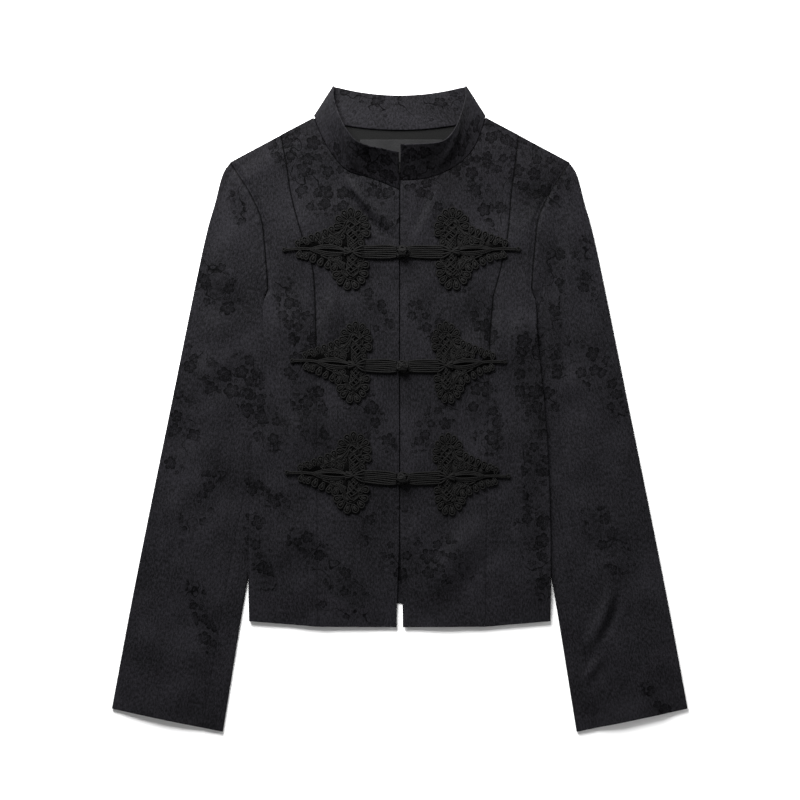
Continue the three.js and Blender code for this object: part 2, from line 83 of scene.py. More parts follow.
# ---------- Plan of one half of the body, distances from the centre line ----------
HEM_CENTRE_Y = -240
HEM_CORNER_Y = -233.5
BACK_HEM_CENTRE_Y = -214
FRONT_EDGE_X = 0.55
HEM_PARTING = 3.4
PARTING_START_Y = -130
SHOULDER_TIP = (186.7, 271.4)
NECK_POINT = (94.8, 319.8)
BACK_NECK_Y = 307
UNDERARM_Y = 118

SIDE_SEAM = [
    (165.2, HEM_CORNER_Y),
    (165.8, -188),
    (164.2, -95),
    (159.5, -5),
    (151.3, 75),
    (149.3, UNDERARM_Y),
]
ARMHOLE = [
    (145.0, 130),
    (145.8, 148),
    (148.8, 182),
    (151.8, 207),
    (163.2, 234),
    (174.2, 252),
    SHOULDER_TIP,
]
# Princess seam from hem to shoulder, with its distance from the centre on each side.
PRINCESS = [
    dict(y=HEM_CENTRE_Y + 0.6, right=90, left=94),
    dict(y=-60, right=91, left=96.5),
    dict(y=72, right=91.8, left=98.8),
    dict(y=124, right=93.2, left=102.8),
    dict(y=156, right=96, left=111.5),
    dict(y=194, right=108.6, left=119),
    dict(y=236, right=119.6, left=122.5),
    dict(y=265, right=124, left=126.5),
    dict(y=300.9, right=130.6, left=130.6),
]
PRINCESS_UNDERARM_ROW = 3
# Front neck seam from the centre to the shoulder, with its height on each side.
FRONT_NECK = [
    dict(x=FRONT_EDGE_X, right=240.6, left=250.5),
    dict(x=20, right=248.6, left=251.6),
    dict(x=34, right=253.8, left=254.2),
    dict(x=54, right=259.4, left=262),
    dict(x=64, right=266.5, left=268),
    dict(x=74, right=278.6, left=276.6),
    dict(x=82, right=291.6, left=287),
    dict(x=88.6, right=305.4, left=302),
    dict(x=NECK_POINT[0], right=NECK_POINT[1], left=NECK_POINT[1]),
]

# ---------- Sleeves ----------
SLEEVE_OUTER = [
    SHOULDER_TIP,
    (194.4, 260.4),
    (204, 225),
    (212, 196.6),
    (252.7, -1.4),
    (292.3, -199.4),
    (316.5, -329.5),
]
SLEEVE_INNER = [
    (145.4, 129.8),
    (149.9, 117.6),
    (147, 107),
    (132, 82),
    (120, 48),
    (121, 8),
    (138, -60),
    (156, -130),
    (168, -193),
    (194.4, -355),
]
# Rows from armhole to cuff, as shares of the outer and the inner edge.
SLEEVE_ROWS = [
    (0, 0), (0.03, 0.012), (0.07, 0.026), (0.12, 0.05), (0.17, 0.085), (0.23, 0.13),
    (0.29, 0.19), (0.36, 0.26), (0.43, 0.34), (0.5, 0.43), (0.58, 0.53), (0.67, 0.64),
    (0.78, 0.76), (0.89, 0.88), (1, 1),
]
UPPER_SEAM = 9 / 11  # seam between upper and under sleeve, as a share from the outer edge
LOWER_SEAM = 4 / 11
CAP_REACH = 0.22
ARMHOLE_EASE = dict(shoulder=45, underarm=12)
UNDERARM_SLOPE = 1.3
SLEEVE_LENGTH = 610.0
SLEEVE_WIDTH = 120
SLEEVE_ROW_COUNT = 200
SLEEVE_GRAIN = 11.0  # degrees that the grain of a sleeve leans from upright
SLEEVE_CLOTH_SHIFT = 700  # moves the sleeves' part of the jacquard away from the body's
SLEEVE_TUCK = 0.7  # how far the armhole edge of a sleeve lies under its seam

# ---------- Collar ----------
COLLAR_TOP = [
    dict(x=0.9, right=280, left=288.4, z=21),
    dict(x=23, right=284.4, left=288.8, z=23.5),
    dict(x=35, right=286.8, left=289.4, z=24),
    dict(x=48, right=292.4, left=292.2, z=23.5),
    dict(x=54.8, right=300.4, left=298, z=22.5),
    dict(x=62.4, right=312.4, left=310.4, z=19.5),
    dict(x=67.6, right=325, left=325, z=15),
    dict(x=72, right=341.5, left=341.5, z=9),
    dict(x=72.4, right=354.7, left=354.7, z=5),
]
COLLAR_CORNER = (72.8, 354.56)
COLLAR_BACK_DIP = 10
COLLAR_HEIGHT = 42.0
COLLAR_EDGE_ROUND = 0.9
COLLAR_BELLY = 1.6
COLLAR_FOLD_SHARE = 0.6  # how much of the belly and the dents the stiffened band takes
# Dents of the band, placed by their run from the centre back and their height on the band.
COLLAR_DENTS = [
    (-152, 2, -122, 40, -5.2, 6, 4),
    (-138, 2, -112, 40, 4.2, 6, 4),
    (-178, 6, -160, 36, 1.6, 8, 0),
    (160, 4, 116, 38, -4.6, 6, -5),
    (146, 2, 108, 34, 3.2, 6, -5),
    (172, 4, 140, 30, 1.3, 8, -3),
    (-104, 6, -98, 40, -1.2, 7, 0),
    (104, 6, 98, 40, -1.2, 7, 0),
]
COLLAR_SEAM_INSET = 0.5
COLLAR_BASE_LIFT = 2.4  # the turned back seam stands this far over the facing

# ---------- Folds and creases ----------
# Soft ridges and troughs, x signed. Each row gives the two ends of the line, then height,
# width and bow. A negative height is a trough, and bow is how far the line curves to its left.
FRONT_CREASES = [
    (-60, 258, -1, 190, 3.4, 4.5, -4),
    (-66, 250, -1, 180, -3.6, 4, -4),
    (46, 252, 8, 180, 1.1, 7, 3),
    (38, 250, 2, 174, -1.6, 5, 3),
    (-76, 166, -80, 54, 1.8, 9, 3),
    (-89, 158, -90, 60, -2.0, 6, 1),
    (26, -222, 108, -112, 4.8, 15, 8),
    (56, -224, 130, -140, -2.2, 11, 8),
    (-40, -150, -76, -222, 0.8, 15, -5),
    (105, 124, 101, 44, -2.2, 4.5, -2),
    (112, 126, 110, 38, 1.5, 7, -2),
    (-138, 120, -112, 66, 0.9, 11, 4),
    (-146, 96, -122, 30, -0.7, 8, 4),
    (140, 112, 122, 44, 0.8, 10, -4),
    (-150, -60, -118, -170, 0.7, 16, 6),
    (152, -40, 128, -130, 0.8, 13, -6),
    (-160, 262, -138, 196, 0.7, 10, -4),
    (160, 256, 142, 190, 0.7, 11, 4),
    (-24, 150, -20, 70, 0.5, 16, 0),
    (26, 20, 34, -60, 0.5, 17, 0),
]
SLEEVE_CREASES = [
    (-176, 218, -196, 120, 0.9, 12, 5),
    (-160, 190, -176, 96, -0.8, 8, 4),
    (-170, 60, -232, 20, 0.9, 12, -6),
    (-168, 34, -222, -6, -0.7, 8, -6),
    (-176, -40, -244, -96, 0.8, 16, 6),
    (-196, -150, -262, -196, 0.8, 14, -5),
    (-226, -232, -286, -246, -0.7, 12, 4),
    (-224, -286, -252, -338, 0.8, 12, 3),
    (178, 214, 198, 130, 0.9, 12, -5),
    (162, 184, 178, 92, -0.8, 8, -4),
    (172, 44, 226, -8, 0.9, 13, 6),
    (172, 20, 216, -26, -0.7, 8, 6),
    (186, -96, 250, -140, 0.8, 15, -5),
    (200, -272, 232, -192, 5.2, 7, -5),
    (213, -264, 244, -188, -3.4, 5.5, -5),
    (200, -306, 226, -268, 3.2, 5, 2),
    (240, -276, 290, -300, -0.7, 12, -4),
    (262, -318, 296, -336, 0.8, 9, 2),
]

# Where the woven sprays of blossom lie: the two ends of each, its width and its strength.
SPRAYS = [
    (-112, 292, -78, 232, 24, 0.9),
    (-96, 250, -66, 208, 15, 0.7),
    (-181, 232, -176, 214, 8, 0.8),
    (-228, 160, -190, 122, 17, 0.8),
    (-128, 128, -100, 74, 13, 0.9),
    (-112, 44, -92, -24, 15, 0.85),
    (-176, 46, -138, -28, 15, 1.0),
    (-226, 52, -192, 26, 14, 0.7),
    (-160, -84, -124, -108, 8, 0.8),
    (-106, -146, -52, -204, 13, 0.8),
    (-160, -128, -148, -188, 10, 0.75),
    (-52, 12, -12, -36, 15, 0.6),
    (-30, -104, 8, -168, 20, 0.45),
    (-196, -64, -232, -124, 12, 0.4),
    (-228, -196, -206, -262, 9, 0.6),
    (-232, 8, -246, -56, 13, 0.5),
    (-40, 244, -14, 210, 15, 0.6),
    (-36, 134, -20, 92, 12, 0.45),
    (96, 290, 158, 246, 25, 1.0),
    (84, 250, 106, 214, 12, 0.7),
    (84, 132, 100, 82, 11, 0.95),
    (172, 168, 166, 92, 10, 0.9),
    (198, 176, 206, 128, 10, 0.6),
    (140, 76, 156, -14, 16, 1.0),
    (84, 22, 102, -32, 14, 0.95),
    (148, -40, 150, -118, 12, 0.9),
    (142, -124, 158, -196, 12, 0.85),
    (52, -146, 74, -178, 9, 0.9),
    (196, 62, 244, 6, 16, 0.55),
    (170, 66, 176, 40, 8, 0.8),
    (272, -308, 288, -332, 8, 0.85),
    (216, -120, 252, -176, 14, 0.4),
    (22, 112, 52, 70, 14, 0.55),
    (58, 10, 24, -34, 13, 0.6),
    (12, -128, 36, -196, 18, 0.35),
    (30, 240, 52, 206, 12, 0.5),
    (-70, 268, 70, 268, 22, 0.75),
    (-60, 344, 62, 330, 13, 0.6),
    (-92, -214, -20, -232, 6, 0.5),
]
BACK_SPRAYS = [(-ax, ay, -bx, by, width * 1.15, strength) for ax, ay, bx, by, width, strength in SPRAYS]

# ---------- Frogs: cord diameters and the layout of one, from its knot outwards ----------
KNOT_X = 3
KNOT_RADIUS = 6.9
SHANK = 1.2  # of the knot's core, down to where it is sewn on
KNOT_CORD = 2.5
KNOT_TIP = 0.45  # radians that each ball leans over
KNOT_FLATNESS = 0.82
KNOT_TURN = {"upper": 0.4, "middle": 1.3, "lower": 2.4}  # radians round its own middle
BAND_CORD = 2.1
BAND_CORDS = 7
PETAL_CORD = 1.95
PETAL_PITCH = 2.5
SPINE_CORD = 1.7
TIE_FROM = 43
TIE_TO = 64
LEAF_TO = 98
# The petals' middles follow a part of an ellipse and then a sagging line to the tail.
FANS = {
    1: dict(centre=(56.5, 23), radii=(15.5, 20.5), start=200, stop=8, end=(118, 5.5), sag=0.6),
    -1: dict(centre=(57, 18), radii=(16, 19), start=204, stop=2, end=(117, 4.6), sag=0.8),
}
PETAL_LENGTH = 11.4
PETAL_WIDTH = 8.8
PETAL_SPACING = 8.1
PLAIT_U = 54.5
# Small loops that fill the hollow between the plait, the leaf and the petals.
FILLERS = [(69, 9.5), (72, 16), (78, 10), (45.5, 10.5), (46.5, 17.5), (66.5, 17)]
PLAIT_HALF = 6.8
FROGS = {
    "upper": dict(y=171.5, right=133, left=130, tilt=dict(right=1.4, left=1.5)),
    "middle": dict(y=45.5, right=124, left=115, tilt=dict(right=3.2, left=3.0)),
    "lower": dict(y=-77, right=130, left=119, tilt=dict(right=3.4, left=1.8)),
}
FROG_LENGTH = 133


# ---------- Numbers and curves ----------
def smoothstep(value, low, high):
    t = np.clip((np.asarray(value, float) - low) / (high - low), 0, 1)
    return t * t * (3 - 2 * t)


def mix(a, b, share):
    return a + (b - a) * share


def smooth_curve(points, per_span=24):
    """A dense polyline on a centripetal Catmull-Rom curve through the points."""
    p = np.asarray(points, float)
    ends = np.vstack([2 * p[0] - p[1], p, 2 * p[-1] - p[-2]])
    spans = []
    for i in range(len(p) - 1):
        p0, p1, p2, p3 = ends[i : i + 4]
        t01, t12, t23 = (max(np.linalg.norm(b - a), 1e-4) ** 0.5 for a, b in ((p0, p1), (p1, p2), (p2, p3)))
        m1 = ((p1 - p0) / t01 - (p2 - p0) / (t01 + t12) + (p2 - p1) / t12) * t12
        m2 = ((p2 - p1) / t12 - (p3 - p1) / (t12 + t23) + (p3 - p2) / t23) * t12
        s = np.linspace(0, 1, per_span, endpoint=False)[:, None]
        spans.append(p1 + m1 * s + (3 * (p2 - p1) - 2 * m1 - m2) * s**2 + (2 * (p1 - p2) + m1 + m2) * s**3)
    return np.vstack([*spans, p[-1:]])


def travelled(curve):
    return np.concatenate([[0], np.cumsum(np.linalg.norm(np.diff(curve, axis=0), axis=1))])


def at_shares(curve, shares):
    """Points of a polyline at shares of its length."""
    run = travelled(curve)
    where = np.asarray(shares) * run[-1]
    return np.stack([np.interp(where, run, curve[:, k]) for k in range(curve.shape[1])], axis=-1)


def look_up(points, y):
    """x at y on a table of (x, y) points."""
    p = np.asarray(sorted(points, key=lambda q: q[1]), float)
    return np.interp(y, p[:, 1], p[:, 0])


# ---------- How the cloth lies ----------
SLEEVE_HIDDEN = SLEEVE_INNER[1:]


def body_edge_x(y):
    return np.where(y < UNDERARM_Y, look_up(SIDE_SEAM, y), look_up(ARMHOLE, y))


def sleeve_inner_x(y):
    return look_up(SLEEVE_HIDDEN, y) + UNDERARM_SLOPE * np.maximum(0, y - SLEEVE_HIDDEN[0][1])


def over_sleeve(x, y, ramp):
    fold = sleeve_inner_x(y) - RAMP_CLEARANCE
    t = np.clip((np.abs(x) - fold + ramp) / ramp, 0, 1)
    return t * t * (3 - 2 * t) * smoothstep(y, -236, -188)


def back_lay(x, y):
    return BACK_OVER_SLEEVE * over_sleeve(x, y, BACK_RAMP)


def relief(x, y, creases):
    """Height of the creases at each point."""
    total = np.zeros(np.broadcast(x, y).shape)
    for ax, ay, bx, by, height, width, bow in creases:
        length = math.hypot(bx - ax, by - ay)
        ux, uy = (bx - ax) / length, (by - ay) / length
        t = ((x - ax) * ux + (y - ay) * uy) / length
        across = (x - ax) * -uy + (y - ay) * ux - bow * 4 * t * (1 - t)
        along = np.where((t > 0) & (t < 1), np.sin(np.pi * np.clip(t, 0, 1)) ** 1.3, 0)
        total += height * along * np.exp(-((across / width) ** 2))
    return total


def make_waves(seed, count, shortest, longest, height):
    """Long soft waves in many directions, as in cloth that was smoothed down by hand."""
    draw = random.Random(seed)
    waves = []
    for _ in range(count):
        length = draw.uniform(shortest, longest)
        turn = draw.uniform(0, math.pi)
        start = draw.uniform(0, 6.3)
        waves.append((math.cos(turn) / length, math.sin(turn) / length, start, height * length / longest))
    return waves


BODY_WAVES = make_waves(3, 9, 38, 130, 0.42)
SLEEVE_WAVES = make_waves(8, 9, 36, 110, 0.45)


def swell(x, y, waves):
    return sum(h * np.sin(2 * np.pi * (x * fx + y * fy) + phase) for fx, fy, phase, h in waves)


def front_lay(x, y):
    """Lower face of the fronts, with their folds."""
    side = np.abs(x)
    flat = mix(MIDDLE_LAY, FRONT_OVER_SLEEVE, over_sleeve(x, y, FRONT_RAMP))
    folds = relief(x, y, FRONT_CREASES) + swell(x, y, BODY_WAVES)
    slope = (NECK_POINT[1] - SHOULDER_TIP[1]) / (SHOULDER_TIP[0] - NECK_POINT[0])
    below = (NECK_POINT[1] - slope * (side - NECK_POINT[0]) - y) * math.cos(math.atan(slope))
    seam = mix(NECK_POINT_LAY, SHOULDER_LAY, smoothstep(side, NECK_POINT[0], 150))
    lay = mix(seam, flat + folds, smoothstep(below, 0, SHOULDER_DROP))
    lowest = mix(seam, back_lay(x, y) + CLOTH + 0.2, smoothstep(below, 0, SHOULDER_DROP))
    return lowest + 0.3 * np.logaddexp(0, (lay - lowest) / 0.3)


def sleeve_lay(x, y):
    """Lower face of a sleeve's upper ply, x signed."""
    side = np.abs(x)
    inner = np.maximum(body_edge_x(y), np.where(y < SLEEVE_HIDDEN[0][1], sleeve_inner_x(y), 0))
    from_inner = smoothstep(side - inner, LOFT_START, LOFT_START + LOFT_WIDTH)
    from_outer = smoothstep(look_up(SLEEVE_OUTER, y) - side, 2, 2 + LOFT_WIDTH)
    near_inner = smoothstep(side - inner, 2, 26)
    near_outer = smoothstep(look_up(SLEEVE_OUTER, y) - side, 1, 22)
    folds = (relief(x, y, SLEEVE_CREASES) + swell(x, y, SLEEVE_WAVES)) * near_inner * near_outer
    return SLEEVE_PRESSED_LAY + SLEEVE_LOFT * from_inner * from_outer + folds


# ---------- Meshes ----------
def link_mesh(name, vertices, faces, uvs=None):
    """A smooth mesh object, in metres from points in millimetres."""
    mesh = bpy.data.meshes.new(name)
    mesh.from_pydata((np.asarray(vertices) * MM).tolist(), [], faces)
    if uvs is not None:
        layer = mesh.uv_layers.new(name="cloth")
        corners = np.empty(len(mesh.loops), dtype=np.int32)
        mesh.loops.foreach_get("vertex_index", corners)
        layer.data.foreach_set("uv", (np.asarray(uvs) * MM)[corners].ravel())
    mesh.shade_smooth()
    mesh.validate()
    obj = bpy.data.objects.new(name, mesh)
    bpy.context.scene.collection.objects.link(obj)
    return obj


def grid_normals(points):
    along = np.gradient(points, axis=0)
    across = np.gradient(points, axis=1)
    normals = np.cross(across, along)
    return normals / np.maximum(np.linalg.norm(normals, axis=2, keepdims=True), 1e-9)


def shell(name, points, half, uvs, flip=False):
    """A closed thin shell on a grid of middle points, with half its thickness at each."""
    rows, columns = points.shape[:2]
    normals = grid_normals(points) * (-1 if flip else 1)
    upper = (points + normals * half[..., None]).reshape(-1, 3)
    lower = (points - normals * half[..., None]).reshape(-1, 3)
    count = rows * columns
    index = np.arange(count).reshape(rows, columns)
    a, b, c, d = index[:-1, :-1], index[:-1, 1:], index[1:, 1:], index[1:, :-1]
    top = np.stack([a, b, c, d], axis=-1).reshape(-1, 4)
    if flip:
        top = top[:, ::-1]
    bottom = top[:, ::-1] + count
    rim = np.concatenate([index[0, :], index[1:, -1], index[-1, -2::-1], index[-2:0:-1, 0]])
    after = np.roll(rim, -1)
    sides = np.stack([rim, rim + count, after + count, after], axis=-1)
    if flip:
        sides = sides[:, ::-1]
    flat = np.asarray(uvs).reshape(-1, 2)
    return link_mesh(
        name,
        np.vstack([upper, lower]),
        np.vstack([top, bottom, sides]).tolist(),
        np.vstack([flat, flat]),
    )


EDGE_STEPS = [0, 0.08, 0.22, 0.45, 0.8, 1.4, 2.4, 4.0]  # distances of the first rows from an edge
EDGE_TURN = 1.38  # radians that a side edge turns through, towards the other ply


def spread(width, inside):
    """Distances across a width, close together near both ends."""
    edge = np.array(EDGE_STEPS)
    middle = np.linspace(edge[-1], width - edge[-1], inside + 2)[1:-1]
    return np.concatenate([edge, middle, width - edge[::-1]])


def rounded(distance, radius=EDGE_ROUND):
    """Share of the full thickness at a distance from a folded edge."""
    t = np.clip(1 - distance / radius, 0, 1)
    return np.sqrt(np.maximum(1 - t * t, 0.0025))


def seam_dip(distance):
    return SEAM_DIP * np.exp(-((distance / SEAM_DIP_WIDTH) ** 2))


def pucker(run, distance, seed, height=0.22, pitch=11, reach=8):
    """The small waves that stitching pulls along a seam."""
    draw = random.Random(seed)
    phase = [draw.uniform(0, 6.3) for _ in range(3)]
    wave = (
        np.sin(2 * np.pi * run / pitch + phase[0])
        + 0.7 * np.sin(2 * np.pi * run / (pitch * 1.7) + phase[1])
        + 0.5 * np.sin(2 * np.pi * run / (pitch * 0.62) + phase[2])
    )
    return height * wave * np.exp(-distance / reach)


def lay_sheet(node, points, half, uv, material, flip=False):
    """The shell of a sheet, painted and entered in the frame's table."""
    piece = shell(f"{node}_cloth", points, half, uv, flip)
    piece.data.materials.append(material)
    paint_sprays(piece, BACK_SPRAYS if node.startswith("back") else SPRAYS)
    # Fronts and sleeves get a painted shade line along their seams.
    if node.startswith(("front", "sleeve")):
        paint_seam_shade(piece)
    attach(piece, "root")
    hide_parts(node)


# ---------- Panels of the body ----------
def two_stretches(below, above, shares):
    """Points on two joined polylines: shares from 0 to 1 on the first, 1 to 2 on the second."""
    shares = np.asarray(shares)
    low = at_shares(below, np.clip(shares, 0, 1))
    high = at_shares(above, np.clip(shares - 1, 0, 1))
    return np.where((shares <= 1)[:, None], low, high)


def row_shares(lower_length, upper_length, step):
    """Row stations, 0 to 1 up to the underarm and 1 to 2 above it, close near the ends."""
    edge = np.array(EDGE_STEPS)
    total = lower_length + upper_length
    inside = int(total / step)
    run = np.linspace(edge[-1], total - edge[-1], inside + 2)[1:-1]
    run = np.concatenate([edge, run, total - edge[::-1]])
    shares = np.where(run < lower_length, run / lower_length, 1 + (run - lower_length) / upper_length)
    return shares, run, total


def body_edge_curves():
    return smooth_curve(SIDE_SEAM), smooth_curve([SIDE_SEAM[-1], *ARMHOLE])


def princess_curves(side):
    points = [(row[side], row["y"]) for row in PRINCESS]
    cut = PRINCESS_UNDERARM_ROW
    return smooth_curve(points[: cut + 1]), smooth_curve(points[cut:])


def neck_curve(side):
    return smooth_curve([(row["x"], row[side]) for row in FRONT_NECK])


def front_edge_curves(side):
    neck = neck_curve(side)
    y = np.linspace(HEM_CENTRE_Y, neck[0][1], 60)
    x = mix(HEM_PARTING, FRONT_EDGE_X, smoothstep(y, HEM_CENTRE_Y, PARTING_START_Y))
    return np.stack([x, y], axis=-1), neck


def fill_between(rail_a, rail_b, distances):
    """Points from rail a to rail b at distances along each row, with what is left to b."""
    width = np.linalg.norm(rail_b - rail_a, axis=1)
    stations = np.stack([spread(w, distances) for w in width])
    share = stations / width[:, None]
    points = rail_a[:, None, :] + (rail_b - rail_a)[:, None, :] * share[..., None]
    return points, stations, width[:, None] - stations


def front_centre(side, material):
    sign = SIGN[side]
    edge_low, neck = front_edge_curves(side)
    seam_low, seam_high = princess_curves(side)
    shares, run, total = row_shares(430, 200, PANEL_ROW_STEP)
    a = two_stretches(edge_low, neck, shares)
    b = two_stretches(seam_low, seam_high, shares) - [SEAM_GAP / 2, 0]
    plan, from_edge, from_seam = fill_between(a, b, 34)
    x, y = sign * plan[..., 0], plan[..., 1]
    run = run[:, None]
    to_hem, to_shoulder = run, total - run
    at_neck = smoothstep(shares, 0.97, 1.03)[:, None]
    z = front_lay(x, y) + CLOTH / 2
    z += pucker(run, from_seam, seed=21 + sign, height=0.16)
    z += pucker(run, from_edge, seed=31 + sign, height=0.1, reach=6) * (1 - 0.6 * at_neck)
    z -= seam_dip(from_seam) + 0.5 * at_neck * seam_dip(from_edge) + 0.5 * seam_dip(to_shoulder)
    z -= 0.5 * (1 - at_neck) * seam_dip(from_edge)
    nearest = np.minimum(np.minimum(from_edge, from_seam), np.minimum(to_hem, to_shoulder))
    half = CLOTH / 2 * rounded(nearest)
    points = np.stack([x, y, z], -1)
    lay_sheet(f"front_centre_{side}", points, half, points[..., :2], material, flip=sign < 0)


def turned_edge(x, y, turn, count):
    """The last points of a side edge, turned towards the other ply: offsets and heights."""
    radius = (front_lay(x, y) - back_lay(x, y)) / 2
    length = radius * EDGE_TURN
    angle = np.maximum(0.02, EDGE_TURN * turn)
    reach = length * np.sin(angle) / angle
    steps = np.linspace(0, 1, count)
    a = angle[:, None] * steps
    out = (length / angle)[:, None] * np.sin(a) - reach[:, None]
    drop = (length / angle)[:, None] * (1 - np.cos(a))
    return out, drop, reach, length[:, None] * steps


def side_turn(shares):
    """How far the side edge is turned: fully below the underarm, not at all above it."""
    return 1 - smoothstep(shares, 0.97, 1.08)


def front_side(side, material):
    sign = SIGN[side]
    edge_low, edge_high = body_edge_curves()
    seam_low, seam_high = princess_curves(side)
    shares, run, total = row_shares(352, 178, PANEL_ROW_STEP)
    seam = two_stretches(seam_low, seam_high, shares) + [SEAM_GAP / 2, 0]
    edge = two_stretches(edge_low, edge_high, shares)
    out, drop, reach, turned_run = turned_edge(sign * edge[:, 0], edge[:, 1], side_turn(shares), 7)
    flat_edge = edge - np.stack([reach, np.zeros_like(reach)], -1)
    plan, from_seam, to_edge = fill_between(seam, flat_edge, 26)
    x, y = sign * plan[..., 0], plan[..., 1]
    run = run[:, None]
    above = smoothstep(shares, 1.0, 1.06)[:, None]
    z = front_lay(x, y) + CLOTH / 2
    z += pucker(run, from_seam, seed=21 + sign, height=0.16) - seam_dip(from_seam)
    z += above * (pucker(run, to_edge, seed=51 + sign, height=0.2) - ARMHOLE_DIP * seam_dip(to_edge))
    z -= 0.5 * seam_dip(total - run)
    turned_x = sign * (edge[:, :1] + out[:, 1:])
    turned_y = np.repeat(edge[:, 1:], out.shape[1] - 1, axis=1)
    turned_z = z[:, -1:] - drop[:, 1:]
    x, y, z = np.hstack([x, turned_x]), np.hstack([y, turned_y]), np.hstack([z, turned_z])
    nearest = np.minimum(from_seam, np.minimum(run, total - run))
    turned = out.shape[1]
    nearest = np.hstack([nearest, np.minimum(np.repeat(nearest[:, -1:], turned - 1, axis=1), 9)])
    nearest[:, -turned:] = np.minimum(nearest[:, -turned:], turned_run[:, -1:] - turned_run)
    half = CLOTH / 2 * rounded(nearest)
    uv_x = np.hstack([sign * plan[..., 0], sign * (flat_edge[:, :1] + turned_run[:, 1:])])
    points, uv = np.stack([x, y, z], -1), np.stack([uv_x, y], -1)
    lay_sheet(f"front_side_{side}", points, half, uv, material, flip=sign < 0)


def back_top_y(x):
    side = np.abs(x)
    neck = BACK_NECK_Y + (NECK_POINT[1] - BACK_NECK_Y) * (side / NECK_POINT[0]) ** 2
    shoulder = mix(NECK_POINT[1], SHOULDER_TIP[1], (side - NECK_POINT[0]) / (SHOULDER_TIP[0] - NECK_POINT[0]))
    return np.where(side <= NECK_POINT[0], neck, shoulder)


def back_panel(material):
    edge_low, edge_high = body_edge_curves()
    shares, run, total = row_shares(352, 160, BACK_ROW_STEP)
    edge = two_stretches(edge_low, edge_high, shares)
    out, drop, reach, _ = turned_edge(edge[:, 0], edge[:, 1], side_turn(shares), 6)
    half_width = edge[:, 0] - reach
    columns = np.linspace(-1, 1, 85)
    x = half_width[:, None] * columns
    rise = ((edge[:, 1] - HEM_CORNER_Y) / (SHOULDER_TIP[1] - HEM_CORNER_Y))[:, None]
    hem = mix(BACK_HEM_CENTRE_Y, HEM_CORNER_Y, np.abs(columns) ** 3)
    y = mix(hem, back_top_y(columns * SHOULDER_TIP[0]), rise)
    z = back_lay(x, y) + CLOTH / 2
    turned = np.arange(1, out.shape[1])
    right_x, left_x = -(edge[:, :1] + out[:, 1:])[:, ::-1], edge[:, :1] + out[:, 1:]
    side_y = np.repeat(edge[:, 1:], len(turned), axis=1)
    points = np.stack([
        np.hstack([right_x, x, left_x]),
        np.hstack([side_y, y, side_y]),
        np.hstack([(z[:, :1] + drop[:, 1:])[:, ::-1], z, z[:, -1:] + drop[:, 1:]]),
    ], -1)
    to_end = np.minimum(run, total - run)[:, None]
    width = points.shape[1]
    from_side = np.minimum(np.arange(width), width - 1 - np.arange(width)) * 0.4
    half = CLOTH / 2 * rounded(np.minimum(to_end, from_side[None, :]))
    lay_sheet("back", points, half, points[..., :2], material)


# ---------- Sleeves ----------
def sleeve_plan(rows, columns):
    """Plan points of a left sleeve, how far each row is from the armhole, and the armhole."""
    outer = smooth_curve(SLEEVE_OUTER)
    inner = smooth_curve(SLEEVE_INNER)
    seam = at_shares(smooth_curve(ARMHOLE)[::-1], columns)
    table = np.clip(at_shares(smooth_curve(SLEEVE_ROWS, 12), rows), 0, 1)
    start = at_shares(outer, table[:, 0])
    start[:, 0] -= SLEEVE_TUCK * (1 - table[:, 0])
    end = at_shares(inner, table[:, 1])
    hold = np.maximum(0, 1 - table[:, 0] / CAP_REACH) ** 2
    tip, underarm = np.array(ARMHOLE[-1]), np.array(ARMHOLE[0])
    chord = tip + (underarm - tip) * columns[:, None]
    bulge = seam - chord - [0.5, 0]
    plan = start[:, None] + (end - start)[:, None] * columns[None, :, None] + hold[:, None, None] * bulge
    moved = np.stack([table[:, 0] * travelled(outer)[-1], table[:, 1] * travelled(inner)[-1]], -1)
    return plan, moved, seam


def ply_lay(x, y, seam, moved, columns, sign):
    """Lower face of a sleeve's upper ply: the armhole holds it up near the seam."""
    ease = mix(ARMHOLE_EASE["shoulder"], ARMHOLE_EASE["underarm"], columns**3)
    away = mix(moved[:, :1], moved[:, 1:], columns[None, :])
    held = 1 - smoothstep(away / ease, 0, 1)
    at_seam = front_lay(sign * seam[:, 0], seam[:, 1])[None, :]
    return mix(sleeve_lay(x, y), at_seam, held)


